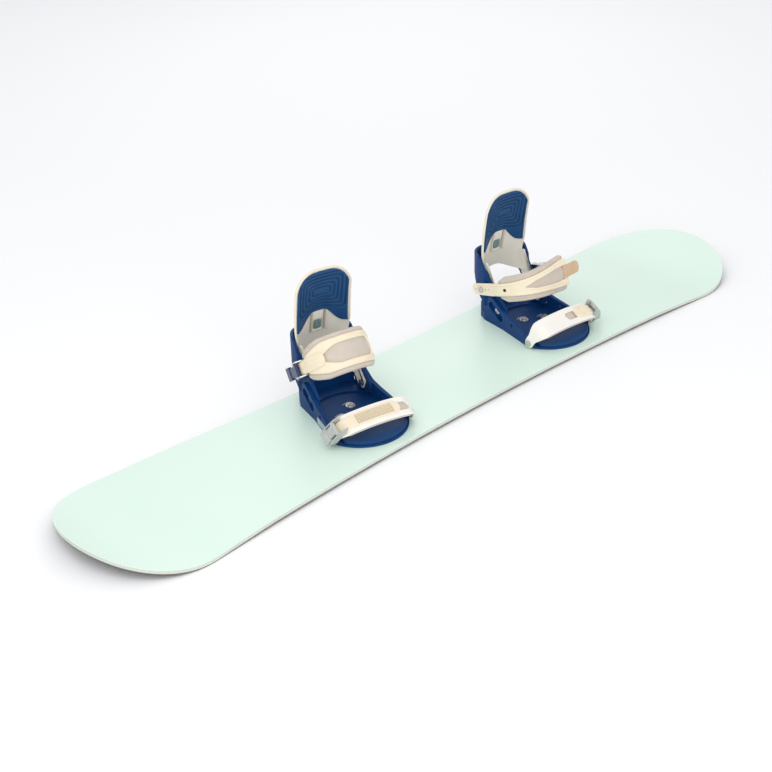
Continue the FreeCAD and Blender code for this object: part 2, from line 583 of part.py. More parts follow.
def highback():
    outside = wing_x()
    outline = mirrored_outline([
        (outside, SHELL_BOTTOM_Z), (outside, 112.0, 20.0), (SHELL_HALF, 140.0, 30.0),
        (SHELL_HALF, SHELL_TOP_Z, SHELL_CORNER)])
    body = curved_slab(0.0, SHELL_THICKNESS).common(prism(outline, "xz", 0, 200))
    wing = prism([(PIVOT_Y - WING_RADIUS, PIVOT_Z + 6, 6.0), (PIVOT_Y - 4, PIVOT_Z - WING_RADIUS, 8.0),
                  (PIVOT_Y + WING_RADIUS, PIVOT_Z - 6, 6.0), (96.0, 74.0, 8.0), (97.0, 108.0, 4.0),
                  (84.0, 112.0, 3.0), (72.0, 72.0, 30.0)], "yz", outside - WING_THICKNESS, outside)
    wing = wing.cut(cross_pin(BOLT_RADIUS + BOLT_CLEARANCE, PIVOT_Y, PIVOT_Z, -100, 100))
    for side in both_sides(wing):
        body = body.fuse(side)
    return body.cut(block(-STUD_RADIUS - STUD_GAP, STUD_RADIUS + STUD_GAP, 80, 140, LEAN_Z - 12, CLIP_Z + 10))


def highback_pad():
    half, top = SHELL_HALF - PAD_INSET, SHELL_TOP_Z - PAD_INSET
    outline = [(half, PAD_TIP_Z, 4.0), (half, top, SHELL_CORNER - PAD_INSET),
               (-half, top, SHELL_CORNER - PAD_INSET), (-half, PAD_TIP_Z, 4.0),
               (-half + 13, PAD_TIP_Z, 4.0), (-12.0, PAD_ARCH_Z, 22.0), (12.0, PAD_ARCH_Z, 22.0),
               (half - 13, PAD_TIP_Z, 4.0)]
    slab = curved_slab(SHELL_THICKNESS, SHELL_THICKNESS + PAD_THICKNESS)
    return slab.common(prism(outline, "xz", 0, 200))


def lean_block():
    """Stands on the back of the shell and leans on the inside of the hoop."""
    back = HOOP_BACK_Y - HOOP_THICKNESS - LAYER_GAP
    front = shell_back(LEAN_Z) - 12.0
    body = block(-LEAN_HALF, LEAN_HALF, front, back, LEAN_Z - LEAN_HEIGHT / 2, LEAN_Z + LEAN_HEIGHT / 2)
    return body.cut(curved_slab(0.0, 20.0)).cut(highback())


def lean_clip():
    """The plate inside the shell and the stud through its slot to the lean block."""
    back = shell_back(CLIP_Z) - SHELL_THICKNESS
    plate = block(-CLIP_HALF, CLIP_HALF, back - CLIP_THICKNESS - 3, 140, CLIP_Z - CLIP_HEIGHT / 2,
                  CLIP_Z + CLIP_HEIGHT / 2)
    slab = curved_slab(SHELL_THICKNESS, SHELL_THICKNESS + CLIP_THICKNESS)
    return plate.common(slab)


# ================================================================ straps
def tilt(shape, degrees, y, z):
    """Take a shape from strap coordinates (x, s, t) to the binding's frame."""
    shape = shape.copy()
    shape.rotate(Vector(0, 0, 0), Vector(1, 0, 0), 180.0 - degrees)
    shape.translate(Vector(0, y, z))
    return shape


def side_shape(inner, outer=None):
    """Outlines of (s, half width, radius) pushed across the foot's inner and outer halves."""
    halves = []
    for points, low, high in ((inner, 0.0, 200.0), (outer or inner, -200.0, 0.0)):
        lower = [(s, -w, r) for s, w, r in reversed(points)]
        halves.append(prism(list(points) + lower, "yz", low, high))
    return halves[0].fuse(halves[1])


def ankle_in():
    return HOOP_HALF + LAYER_GAP


def ankle_path(undone):
    """Inner face of the ankle strap's frame, from the +x arm over the foot to the -x side."""
    half = ankle_in()
    if undone:
        reach = UNDONE_TIP - 25.0
        drop = UNDONE_DROP * (reach - UNDONE_BEND) / (UNDONE_TIP - UNDONE_BEND)
        return [(half, -60.0), (half, ANKLE_CREST, half - 1), (UNDONE_BEND, ANKLE_CREST, 150.0),
                (reach, ANKLE_CREST - drop)]
    return [(half, -60.0), (half, ANKLE_CREST, half - FAIR), (-half, ANKLE_CREST, half - FAIR),
            (-half, -60.0)]


def ankle_hinge():
    """x and s of the line that the ankle strap flexes about when it is opened."""
    return ankle_in() + FRAME_THICKNESS, SEAM


def strap_layer(path, inner, outer, half, keep):
    """A strip on the strap's path, cut to a plan: keep is one solid in strap coordinates."""
    return band(path, -outer, -inner, -half, half).common(keep)


def ankle_arm():
    inner = ankle_in()
    plate = prism([(ARM_BACK, -ARM_HALF, ARM_HALF - 0.5), (SEAM, -ARM_HALF - 1.5), (SEAM, ARM_HALF + 1.5),
                   (ARM_BACK, ARM_HALF, ARM_HALF - 0.5)], "yz", inner, inner + FRAME_THICKNESS)
    plate = plate.cut(cross_pin(BOLT_RADIUS + BOLT_CLEARANCE, 0, 0, 0, 100))
    for s in ARM_HOLES:
        plate = plate.cut(cross_pin(ARM_HOLE_RADIUS, s, 0, 0, 100))
    return plate


def window(point, round_end, half, low, high):
    """A teardrop hole seen from above the strap, with its point at x = point, as a solid along s."""
    way = math.copysign(1.0, round_end - point)
    middle = point + way * 34.0
    drop = [(point, -2.0, 1.5), (middle, -half, 26.0), (round_end, -half, half - 1.0),
            (round_end, half, half - 1.0), (middle, half, 26.0), (point, 2.0, 1.5)]
    return prism(drop, "xz", low, high)


def ankle_frame(undone):
    wide = (140.0, ANKLE_FRAME_HALF, 0)
    inner = [(SEAM + 0.1, ARM_HALF + 1.5, 0), (60.0, 15.0, 20.0), (84.0, ANKLE_FRAME_HALF, 16.0), wide]
    outer = [(ANKLE_FRAME_STOP - 4, 14.0, 6.0), (66.0, 19.0, 20.0), (88.0, ANKLE_FRAME_HALF, 16.0), wide]
    body = strap_layer(ankle_path(undone), 0.0, FRAME_THICKNESS, 60.0, side_shape(inner, outer))
    point, round_end = ANKLE_WINDOW_REAR if undone else ANKLE_WINDOW_FRONT
    if undone:
        near, far = TAPER_HALF
        taper = prism([(HOOP_HALF, -near), (HOOP_HALF + 30, -near), (HOOP_HALF + 30, near), (HOOP_HALF, near),
                       (-HOOP_HALF, far), (-120.0, far), (-120.0, -far), (-HOOP_HALF, -far)],
                      "xz", -60, ANKLE_CREST + 20)
        body = body.common(block(UNDONE_END, 200, -200, 200, -100, 100)).common(taper)
    else:
        body = body.cut(block(-200, 0, -200, ANKLE_FRAME_STOP, -100, 100))
    return body.cut(window(point, round_end, ANKLE_WINDOW_HALF, ANKLE_CREST - 45, ANKLE_CREST + 20))


def ankle_pad(undone):
    wide = (140.0, ANKLE_PAD_HALF, 0)
    inner = [(ANKLE_PAD_END, 12.0, 6.0), (66.0, 24.0, 20.0), (84.0, ANKLE_PAD_HALF, 14.0), wide]
    outer = [(ANKLE_PAD_END, 20.0, 8.0), (62.0, 29.0, 20.0), (84.0, ANKLE_PAD_HALF, 14.0), wide]
    body = strap_layer(ankle_path(undone), -ANKLE_PAD_THICKNESS, 0.0, 60.0, side_shape(inner, outer))
    if undone:
        body = body.common(block(UNDONE_END + 4, 200, -200, 200, -100, 100))
    return body


def ladder_arc():
    """Inner radius of the ladder's lower run about the opening line, and its tangent angle."""
    hinge = ankle_hinge()
    centre = 0.0, ANKLE_CREST - ankle_in()
    run = math.hypot(hinge[0] - centre[0], hinge[1] - centre[1])
    angle = math.degrees(math.atan2(centre[1] - hinge[1], centre[0] - hinge[0])) % 360.0
    return run + ankle_in() + FRAME_THICKNESS + FAIR, angle


def ankle_ladder(undone):
    if undone:
        tip = [(UNDONE_TIP, -LADDER_HALF, LADDER_HALF - 3), (UNDONE_END, -LADDER_HALF, 0),
               (UNDONE_END, LADDER_HALF, 0), (UNDONE_TIP, LADDER_HALF, LADDER_HALF - 3)]
        return strap_layer(ankle_path(True), 0.0, LADDER_THICKNESS, 60.0, prism(tip, "xz", 0, 200))
    radius, angle = ladder_arc()
    hinge = ankle_hinge()
    centre = 0.0, ANKLE_CREST - ankle_in()
    upper_in = ankle_in() + FRAME_THICKNESS + FAIR
    stop = 180.0 + math.degrees(math.asin((hinge[1] - LADDER_END) / radius))
    half = LADDER_HALF
    outer = radius + LADDER_THICKNESS
    body = sector(hinge, radius, outer, angle, stop, -half, half)
    upper = sector(centre, upper_in, upper_in + LADDER_THICKNESS, LADDER_TIP_ANGLE, angle, -half, half)
    body = body.fuse(upper).removeSplitter()
    step = math.degrees(TOOTH_PITCH / outer)
    for i in range(int((stop - angle) / step) - 1):
        groove = block(-outer - 1, -outer + TOOTH_DEPTH, -0.9, 0.9, -half + 2, half - 2)
        groove.rotate(Vector(0, 0, 0), Vector(0, 0, 1), stop - 180.0 - (i + 0.6) * step)
        groove.translate(Vector(hinge[0], hinge[1], 0))
        body = body.cut(groove)
    return body


def buckle_walls(inner, height, half, low, high):
    """Two cheeks that stand outwards on the -x side, from low to high along s."""
    cheeks = []
    for sign in (1, -1):
        near = half + BUCKLE_SIDE_GAP
        t0, t1 = sorted((sign * near, sign * (near + BUCKLE_WALL)))
        cheeks.append(prism([(-inner, low), (-inner, high), (-inner - 5, high, 4.0),
                             (-inner - height, high - 4, 5.0), (-inner - height, low + 18, 8.0),
                             (-inner - 3, low, 2.0)], "xy", t0, t1))
    return cheeks


def ankle_buckle_base():
    inner = ankle_in()
    half = LADDER_HALF + BUCKLE_SIDE_GAP + BUCKLE_WALL
    body = prism([(-9.0, -9.0, 8.0), (12.0, -half), (BUCKLE_TOP, -half), (BUCKLE_TOP, half), (12.0, half),
                  (-9.0, 9.0, 8.0)], "yz", -inner - BUCKLE_FLOOR, -inner)
    for cheek in buckle_walls(inner, BUCKLE_HEIGHT, LADDER_HALF, 10.0, BUCKLE_TOP):
        body = body.fuse(cheek)
    body = body.cut(cross_pin(BOLT_RADIUS + BOLT_CLEARANCE, 0, 0, -100, 0))
    for x, s in (lever_pin(), pawl_pin()):
        body = body.cut(post(BUCKLE_PIN_RADIUS, x, s, -50, 50))
    return body.removeSplitter()


def lever_pin():
    return -ankle_in() - BUCKLE_HEIGHT + 3.5, LEVER_PIN_S


def pawl_pin():
    radius, _ = ladder_arc()
    hinge = ankle_hinge()
    outer = radius + LADDER_THICKNESS
    x = hinge[0] - math.sqrt(outer ** 2 - (hinge[1] - PAWL_PIN_S) ** 2)
    return x - LAYER_GAP - PAWL_HUB - 0.5, PAWL_PIN_S


def buckle_pins(places):
    half = LADDER_HALF + BUCKLE_SIDE_GAP + BUCKLE_WALL + 0.6
    return Part.makeCompound([post(BUCKLE_PIN_RADIUS, x, s, -half, half) for x, s in places])


def buckle_lever(place, length):
    """A flat lever on its pin, its tail towards the bolt."""
    x, s = place
    half = LADDER_HALF - 0.1
    hub = post(LEVER_HUB, x, s, -half, half)
    blade = block(x - LEVER_THICKNESS, x + 0.4, s - length + 6, s, -half + 3, half - 3)
    tail = post(6.5, 0, 0, -half, half)
    tail = tail.common(block(-3.0, 3.0, -7, 7, -half, half))
    tail.translate(Vector(x - 2.0, s - length + 4, 0))
    body = hub.fuse(blade).fuse(tail)
    return body.cut(post(BUCKLE_PIN_RADIUS + BOLT_CLEARANCE, x, s, -50, 50)).removeSplitter()


def buckle_pawl(place):
    """A short claw on its own pin, its point towards the ladder."""
    x, s = place
    half = LADDER_HALF - 1.0
    hub = post(PAWL_HUB + 0.3, x, s, -half, half)
    claw = prism([(x, s + 1.5), (x + PAWL_HUB + 0.1, s + 5.5), (x + 0.6, s + 6.0), (x - 1.6, s + 0.5)],
                 "xy", -half, half)
    return hub.fuse(claw).cut(post(BUCKLE_PIN_RADIUS + BOLT_CLEARANCE, x, s, -50, 50)).removeSplitter()


def toe_path():
    """Inner face of the toe strap's frame, from the +x bolt over the toes to the -x bolt."""
    right = [(TOE_HALF, -40.0), (TOE_HALF,) + TOE_ANKLE, TOE_SHOULDER]
    left = [(-p[0],) + p[1:] for p in reversed(right)]
    return right + [(0.0, TOE_CREST, 300.0)] + left


def toe_ladder_start(pulled_in):
    return TOE_LADDER_REAR if pulled_in else TOE_LADDER_FRONT


def toe_frame(pulled_in):
    side = side_shape([(-9.5, TOE_ARM_HALF, 9.0), (12.0, TOE_ARM_HALF, 10.0), (26.0, TOE_FRAME_HALF, 12.0),
                       (90.0, TOE_FRAME_HALF, 0)])
    body = strap_layer(toe_path(), 0.0, TOE_FRAME_THICKNESS, 60.0, side)
    body = body.cut(cross_pin(BOLT_RADIUS + BOLT_CLEARANCE, 0, 0, -100, 100))
    low = toe_ladder_start(pulled_in) - TOE_TAB_OVERLAP
    high, half = low + TOE_WINDOW_LENGTH, TOE_WINDOW_HALF
    hole = prism([(low, -half, half - 0.5), (high, -half, half - 0.5), (high, half, half - 0.5),
                  (low, half, half - 0.5)], "xz", 10, 90)
    return body.cut(hole)


def toe_pad():
    side = side_shape([(TOE_PAD_END, 10.0, 4.0), (30.0, TOE_PAD_HALF, 8.0), (90.0, TOE_PAD_HALF, 0)])
    return strap_layer(toe_path(), -TOE_PAD_THICKNESS, 0.0, 60.0, side)


def toe_ladder(pulled_in):
    half = LADDER_HALF - 0.5
    outer = TOE_FRAME_THICKNESS + LADDER_THICKNESS
    start = toe_ladder_start(pulled_in)
    teeth = TOE_TEETH_REAR if pulled_in else TOE_TEETH_FRONT
    keep = prism([(-120.0, 11.0), (start, 11.0), (start, 90.0), (-120.0, 90.0)], "xy", -half, half)
    tip = prism([(start, -half, half - 1), (start, half, half - 1), (-120, half), (-120, -half)],
                "xz", -50, 120)
    body = strap_layer(toe_path(), TOE_FRAME_THICKNESS, outer, 60.0, keep).common(tip)
    slats = [block(x - 0.9, x + 0.9, 0, 90, -half + 2, half - 2)
             for x in (start - 13 - i * TOOTH_PITCH for i in range(teeth))]
    return body.cut(strap_layer(toe_path(), outer - TOOTH_DEPTH, outer + 2, 60.0, Part.makeCompound(slats)))


def toe_lean():
    """Degrees that the toe strap's sides lean inwards, and their unit run and outward normal."""
    across, up = TOE_HALF - TOE_SHOULDER[0], TOE_SHOULDER[1] - TOE_ANKLE[0]
    length = math.hypot(across, up)
    lean = math.degrees(math.atan2(across, up))
    return lean, (across / length, up / length), (-up / length, across / length)


def toe_pin(run, stand):
    """x and s of a pin at a run up the leaning outer side, and a height above the frame."""
    _, way, out = toe_lean()
    rise = TOE_FRAME_THICKNESS + LADDER_THICKNESS + stand
    return (-TOE_HALF + way[0] * run + out[0] * rise, TOE_ANKLE[0] + way[1] * run + out[1] * rise)


def toe_lever_pin():
    return toe_pin(TOE_LEVER_RUN, TOE_LEVER_STAND)


def toe_pawl_pin():
    return toe_pin(TOE_PAWL_RUN, PAWL_HUB + 0.7 + LAYER_GAP)


def turned(shape, place, degrees):
    """Turn a piece about its own pin, in the strap's plane."""
    shape.rotate(Vector(place[0], place[1], 0), Vector(0, 0, 1), degrees)
    return shape


def toe_buckle_base():
    """Two cheeks that follow the strap's outer corner, on a foot that its bolt holds."""
    inner = TOE_HALF + TOE_FRAME_THICKNESS + LAYER_GAP
    half = LADDER_HALF + BUCKLE_SIDE_GAP
    foot = prism([(-9.0, -9.0, 8.0), (9.0, -half - BUCKLE_WALL), (9.0, half + BUCKLE_WALL), (-9.0, 9.0, 8.0)],
                 "yz", -inner - BUCKLE_FLOOR, -inner)
    body = foot.cut(cross_pin(BOLT_RADIUS + BOLT_CLEARANCE, 0, 0, -100, 0))
    room = [(-130.0, 7.5), (TOE_CHEEK_X, 7.5), (TOE_CHEEK_X, 90.0), (-130.0, 90.0)]
    for sign in (1, -1):
        t0, t1 = sorted((sign * half, sign * (half + BUCKLE_WALL)))
        wall = band(toe_path(), -TOE_BUCKLE_HEIGHT, -TOE_FRAME_THICKNESS - LAYER_GAP, t0, t1)
        body = body.fuse(wall.common(prism(room, "xy", -50, 50)))
    for x, s in (toe_lever_pin(), toe_pawl_pin()):
        body = body.cut(post(BUCKLE_PIN_RADIUS, x, s, -50, 50))
    return body.removeSplitter()


# ================================================================ one binding
def binding(undone):
    """Every node of a binding in its own frame."""
    angle = ANKLE_TILT_REAR if undone else ANKLE_TILT_FRONT

    def ankle(shape):
        return tilt(shape, angle, ANKLE_Y, ANKLE_Z)

    def toe(shape):
        return tilt(shape, TOE_TILT, TOE_Y, TOE_Z)
    return {
        "baseplate": baseplate(),
        "disc": disc(),
        "toe_ramp": toe_ramp(),
        "heel_hoop": heel_hoop(),
        "hoop_bolts": hoop_bolts(),
        "strap_bolts": strap_bolts(),
        "highback": highback(),
        "highback_pad": highback_pad(),
        "lean_block": lean_block(),
        "lean_clip": lean_clip(),
        "ankle_arm": ankle(ankle_arm()),
        "ankle_frame": ankle(ankle_frame(undone)),
        "ankle_pad": ankle(ankle_pad(undone)),
        "ankle_ladder": ankle(ankle_ladder(undone)),
        "ankle_buckle_base": ankle(ankle_buckle_base()),
        "ankle_buckle_pins": ankle(buckle_pins((lever_pin(), pawl_pin()))),
        "ankle_buckle_lever": ankle(buckle_lever(lever_pin(), LEVER_LENGTH)),
        "ankle_buckle_pawl": ankle(buckle_pawl(pawl_pin())),
        "toe_frame": toe(toe_frame(undone)),
        "toe_pad": toe(toe_pad()),
        "toe_ladder": toe(toe_ladder(undone)),
        "toe_buckle_base": toe(toe_buckle_base()),
        "toe_buckle_pins": toe(buckle_pins((toe_lever_pin(), toe_pawl_pin()))),
        "toe_buckle_lever": toe(turned(buckle_lever(toe_lever_pin(), TOE_LEVER_LENGTH), toe_lever_pin(),
                                       -toe_lean()[0])),
        "toe_buckle_pawl": toe(turned(buckle_pawl(toe_pawl_pin()), toe_pawl_pin(), -toe_lean()[0])),
    }


def on_board(shape, stance, mirror, turn=True):
    """Stand a shape of a binding on the board."""
    if mirror:
        shape = shape.mirror(Vector(0, 0, 0), Vector(1, 0, 0))
    if turn:
        shape.rotate(Vector(0, 0, 0), Vector(0, 0, 1), -stance[2])
    shape.translate(Vector(stance[0], stance[1], board_top()))
    return shape


def main():
    os.makedirs("parts", exist_ok=True)
    nodes = board()
    screws, washers = [], []
    for name, stance, mirror in (("front", FRONT_STANCE, False), ("rear", REAR_STANCE, True)):
        for piece, shape in binding(undone=mirror).items():
            # the disc is turned to the board's grid of inserts, not to the foot
            nodes[name + "_" + piece] = on_board(shape, stance, mirror, turn=piece != "disc")
        screws += on_board(disc_screws(), stance, mirror, turn=False).Solids
        washers += on_board(disc_washers(), stance, mirror, turn=False).Solids
    nodes["disc_screws"] = Part.makeCompound(screws)
    nodes["disc_washers"] = Part.makeCompound(washers)
    for name, shape in nodes.items():
        if len(shape.Solids) == 1:
            shape = shape.Solids[0]
        shape.exportStep("parts/" + name + ".step")
        print(name, len(shape.Solids), "solids", shape.isValid(), round(shape.Volume))


main()
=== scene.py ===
# %% [markdown]
# # A snowboard with two strap bindings
# The hard parts arrive as a finished frame, in metres, already in place.  This lesson gives them
# their finishes, and builds what a solid modeller draws too plainly: the moulded highbacks, their
# grooved foam, the padded straps and the ratchet ladders.

# %% Load the frame
import json
import math

import bmesh
import bpy
import numpy as np
from mathutils import Matrix, Vector


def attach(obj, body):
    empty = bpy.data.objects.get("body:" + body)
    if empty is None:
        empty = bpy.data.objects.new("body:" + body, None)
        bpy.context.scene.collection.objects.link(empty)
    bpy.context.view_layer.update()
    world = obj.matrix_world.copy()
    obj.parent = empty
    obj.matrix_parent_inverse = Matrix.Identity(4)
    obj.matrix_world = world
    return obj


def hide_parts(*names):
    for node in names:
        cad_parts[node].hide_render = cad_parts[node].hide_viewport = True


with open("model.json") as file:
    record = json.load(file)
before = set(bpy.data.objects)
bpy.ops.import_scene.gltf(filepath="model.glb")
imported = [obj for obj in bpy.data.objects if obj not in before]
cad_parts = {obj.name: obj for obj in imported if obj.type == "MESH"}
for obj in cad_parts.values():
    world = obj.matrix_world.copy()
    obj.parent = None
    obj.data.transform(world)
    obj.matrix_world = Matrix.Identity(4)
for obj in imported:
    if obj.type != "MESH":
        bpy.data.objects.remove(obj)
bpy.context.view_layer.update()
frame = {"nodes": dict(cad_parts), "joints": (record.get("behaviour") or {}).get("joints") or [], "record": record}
nodes, record = frame["nodes"], frame["record"]
MM = 0.001

# %% [markdown]
# Paint makers give colours as sRGB numbers, while a renderer adds light, so each colour is turned
# to linear once.  One helper adds a node, sets it and links it, which keeps every material short.

# %% Colours and nodes
def linear(colour):
    """A channel c becomes c / 12.92 up to 0.04045, and above it ((c + 0.055) / 1.055) to the 2.4."""
    c = np.array([int(colour[i:i + 2], 16) for i in (1, 3, 5)]) / 255.0
    c = np.where(c <= 0.04045, c / 12.92, ((c + 0.055) / 1.055) ** 2.4)
    return (*c.tolist(), 1.0)


def add(tree, kind, settings=None, values=None, links=None):
    """Add one node, with its settings, its inputs' values and the links into it."""
    made = tree.nodes.new("ShaderNode" + kind)
    for name, value in (settings or {}).items():
        setattr(made, name, value)
    for name, value in (values or {}).items():
        made.inputs[name].default_value = value
    for name, socket in (links or {}).items():
        tree.links.new(socket, made.inputs[name])
    return made


def scale_for(millimetres):
    """Noise features are about one unit apart, so the scale is one over the size in metres."""
    return 1000.0 / millimetres


# %% [markdown]
# ## Moulded plastics, rubber, lacquer and metals
# A moulded part shows three things: a colour that drifts a little over centimetres, where resin and
# handling differ, a roughness that drifts with it, and the fine spark texture that the mould leaves.
# Where a piece carries a value for its hollows on its vertices, painted shade darkens them towards a dim brown.
# One function makes all of them from sizes in millimetres, and each finish adds its own pattern.

# %% The common build of a finish
def finish(name, light, dark, patch_mm, rough, grain_mm, depth_mm, shader=None, pattern=None,
           stretch=(1.0, 1.0, 1.0), space="Object"):
    """Two tones mixed by a slow noise, roughness by the same noise, and a fine noise as relief."""
    material = bpy.data.materials.new(name)
    material.use_nodes = True
    tree = material.node_tree
    tree.nodes.clear()
    place = add(tree, "TexCoord").outputs[space]
    drift = add(tree, "TexNoise", values={"Scale": scale_for(patch_mm), "Detail": 3.0},
                links={"Vector": place})
    tone = add(tree, "Mix", {"data_type": "RGBA"}, links={"Factor": drift.outputs["Fac"]})
    tone.inputs[6].default_value, tone.inputs[7].default_value = linear(light), linear(dark)
    roughness = add(tree, "MapRange", values={"To Min": rough[0], "To Max": rough[1]},
                    links={"Value": drift.outputs["Fac"]})
    stretched = add(tree, "Mapping", values={"Scale": stretch}, links={"Vector": place})
    grain = add(tree, "TexNoise", values={"Scale": scale_for(grain_mm), "Detail": 2.0},
                links={"Vector": stretched.outputs["Vector"]})
    relief = add(tree, "Bump", values={"Distance": depth_mm * MM, "Strength": 1.0},
                 links={"Height": grain.outputs["Fac"]})
    # Painted shade: a value on the vertices darkens the colour towards a dim brown in hollows, where shade would
    # fall.
    hollow_shade = add(tree, "Attribute", {"attribute_name": "painted_recess_shade"})
    shaded = add(tree, "Mix", {"data_type": "RGBA"}, links={"Factor": hollow_shade.outputs["Fac"]})
    shaded.inputs[7].default_value = [0.42 * c * t for c, t in zip(linear(dark), (1.0, 0.9, 0.8))] + [1.0]
    tree.links.new(tone.outputs[2], shaded.inputs[6])
    colour, normal = shaded.outputs[2], relief.outputs["Normal"]
    if pattern:
        colour, normal = pattern(tree, place, colour, normal)
    skin = add(tree, "BsdfPrincipled", values=shader or {},
               links={"Base Color": colour, "Roughness": roughness.outputs["Result"],
                      "Normal": normal})
    add(tree, "OutputMaterial", links={"Surface": skin.outputs["BSDF"]})
    return material


# %% [markdown]
# A few finishes need a pattern that a plain noise can't give.  Coated polyester shows its basket
# weave, so two sets of waves cross on the piece's own map.  Real threads are 0.5 mm apart, which is
# too fine beside a whole board, so they are drawn 1.6 mm apart.  Laminated wood shows strips.

# %% Weave, laminations and stripes
WAVE = 0.314                  # a wave texture's period at scale 1, in metres


def basket_weave(tree, place, colour, normal):
    """The product of two crossed waves is the height of a plain weave."""
    waves = [add(tree, "TexWave", {"bands_direction": way}, {"Scale": WAVE / (1.6 * MM)},
                 {"Vector": place}) for way in "XY"]
    cross = add(tree, "Math", {"operation": "MULTIPLY"})
    for socket, wave in zip(cross.inputs, waves):
        tree.links.new(wave.outputs["Fac"], socket)
    relief = add(tree, "Bump", values={"Distance": 0.25 * MM, "Strength": 0.6},
                 links={"Height": cross.outputs[0], "Normal": normal})
    return colour, relief.outputs["Normal"]


def laminations(tree, place, colour, normal):
    """Strips 20 mm wide, each a little darker or lighter than the next."""
    strips = add(tree, "TexWave", {"bands_direction": "Y"},
                 {"Scale": WAVE / (40 * MM), "Distortion": 0.4}, {"Vector": place})
    shade = add(tree, "Mix", {"data_type": "RGBA", "blend_type": "MULTIPLY"})
    shade.inputs[0].default_value = 0.35
    tree.links.new(colour, shade.inputs[6])
    tree.links.new(strips.outputs["Color"], shade.inputs[7])
    return shade.outputs[2], normal


def printed_stripes(tree, place, colour, normal):
    """Straight stripes 3 mm apart, as on a plain printed patch."""
    waves = add(tree, "TexWave", {"bands_direction": "X"}, {"Scale": WAVE / (3.0 * MM)},
                {"Vector": place})
    edge = add(tree, "MapRange", values={"From Min": 0.45, "From Max": 0.55},
               links={"Value": waves.outputs["Fac"]})
    shade = add(tree, "Mix", {"data_type": "RGBA"}, links={"Factor": edge.outputs["Result"]})
    shade.inputs[6].default_value = linear("#dfe9ea")
    tree.links.new(colour, shade.inputs[7])
    return shade.outputs[2], normal


# %% [markdown]
# ## The list of finishes
# Each is named for what it is made of and how.  Moulded nylon has an index of refraction of 1.53,
# polyurethane 1.50, polycarbonate 1.58 and rubber 1.52.  Metals keep the default and are told
# apart by colour and roughness.  The lacquered topsheet has a clear coat over its print.

# %% Finishes by the record's slots
finishes = {
    "mint_topsheet": finish("satin_lacquered_topsheet_mint", "#e2f5e8", "#d9efe0", 260, (0.38, 0.46), 2.5,
                            0.01, {"IOR": 1.5, "Coat Weight": 0.25, "Coat Roughness": 0.25}),
    "base_sheet": finish("sintered_polyethylene_black", "#2b2a2b", "#201f21", 60, (0.45, 0.6), 0.8, 0.02,
                         {"IOR": 1.51}, stretch=(0.1, 1.0, 1.0)),
    "edge_steel": finish("ground_edge_steel", "#8a776a", "#78675c", 30, (0.32, 0.45), 0.6, 0.01,
                         {"Metallic": 1.0}, stretch=(0.05, 1.0, 1.0)),
    "wood_core": finish("laminated_poplar", "#cda574", "#b98f60", 90, (0.6, 0.75), 1.5, 0.05,
                        {"IOR": 1.5}, laminations, (0.05, 1.0, 1.0)),
    "sidewall_abs": finish("milled_abs_sidewall", "#d3dcd0", "#c3cbc0", 50, (0.42, 0.55), 0.7, 0.03,
                           {"IOR": 1.54}, stretch=(0.2, 1.0, 1.0)),
    "bright_steel": finish("zinc_plated_steel", "#dcdcd8", "#bdbdb9", 4, (0.22, 0.38), 0.5, 0.01,
                           {"Metallic": 1.0}),
    "navy_plastic": finish("glass_filled_nylon_navy", "#023c76", "#003266", 35, (0.45, 0.58), 0.9, 0.03,
                           {"IOR": 1.53, "Specular IOR Level": 0.22}),
    "navy_rubber": finish("moulded_rubber_navy", "#0b4378", "#073a6a", 30, (0.5, 0.65), 0.9, 0.05,
                          {"IOR": 1.52, "Specular IOR Level": 0.35}),
    "ivory_plastic": finish("glass_filled_nylon_ivory", "#f0ebdf", "#e5dfd2", 40, (0.42, 0.55), 0.9, 0.03,
                            {"IOR": 1.53, "Subsurface Weight": 0.05, "Subsurface Scale": 0.004}),
    "navy_foam": finish("moulded_eva_foam_navy", "#10497a", "#0b406e", 30, (0.55, 0.7), 1.1, 0.06,
                        {"IOR": 1.48, "Specular IOR Level": 0.35, "Sheen Weight": 0.04,
                         "Sheen Roughness": 0.5}),
    "teal_plastic": finish("moulded_nylon_grey_teal", "#7d9796", "#65807f", 8, (0.35, 0.45), 0.6, 0.02,
                           {"IOR": 1.53}),
    "cream_plastic": finish("injected_polyurethane_cream", "#f5e8cf", "#eadbc0", 25, (0.4, 0.52), 0.8, 0.03,
                            {"IOR": 1.5, "Subsurface Weight": 0.12, "Subsurface Scale": 0.004}),
    "greige_padding": finish("coated_polyester_greige", "#d2c7b9", "#c3b7a8", 22, (0.6, 0.75), 0.7, 0.04,
                             {"IOR": 1.5, "Sheen Weight": 0.25, "Sheen Roughness": 0.45}, basket_weave,
                             space="UV"),
    "white_metal": finish("die_cast_aluminium_satin", "#e6e6e3", "#cfcfcb", 6, (0.25, 0.4), 0.6, 0.02,
                          {"Metallic": 1.0}),
    "navy_gloss": finish("gloss_nylon_navy", "#152c5c", "#0f2450", 10, (0.16, 0.26), 0.8, 0.01,
                         {"IOR": 1.53, "Coat Weight": 0.3, "Coat Roughness": 0.1}),
    "white_plastic": finish("injected_polyurethane_white", "#f6f2ea", "#ede8df", 25, (0.38, 0.5), 0.8, 0.03,
                            {"IOR": 1.5, "Subsurface Weight": 0.12, "Subsurface Scale": 0.004}),
    "clear_plastic": finish("moulded_polycarbonate_smoke", "#dcdfda", "#c6cac5", 8, (0.12, 0.22), 0.6,
                            0.01, {"IOR": 1.58, "Transmission Weight": 0.35}),
}
# A darker, tan copy of the cream finish, used only on the rear strap's free tongue.
darker_cream_tongue = finish("injected_polyurethane_cream_darkened", "#d9bd9c", "#cbad8b", 20, (0.42, 0.52), 0.8, 0.03,
                    {"IOR": 1.5, "Subsurface Weight": 0.1, "Subsurface Scale": 0.004})
rim_cream = finish("overmoulded_rim_cream", "#f0e6d4", "#e6dac5", 25, (0.38, 0.5), 0.8, 0.02,
                   {"IOR": 1.5, "Subsurface Weight": 0.1, "Subsurface Scale": 0.004})
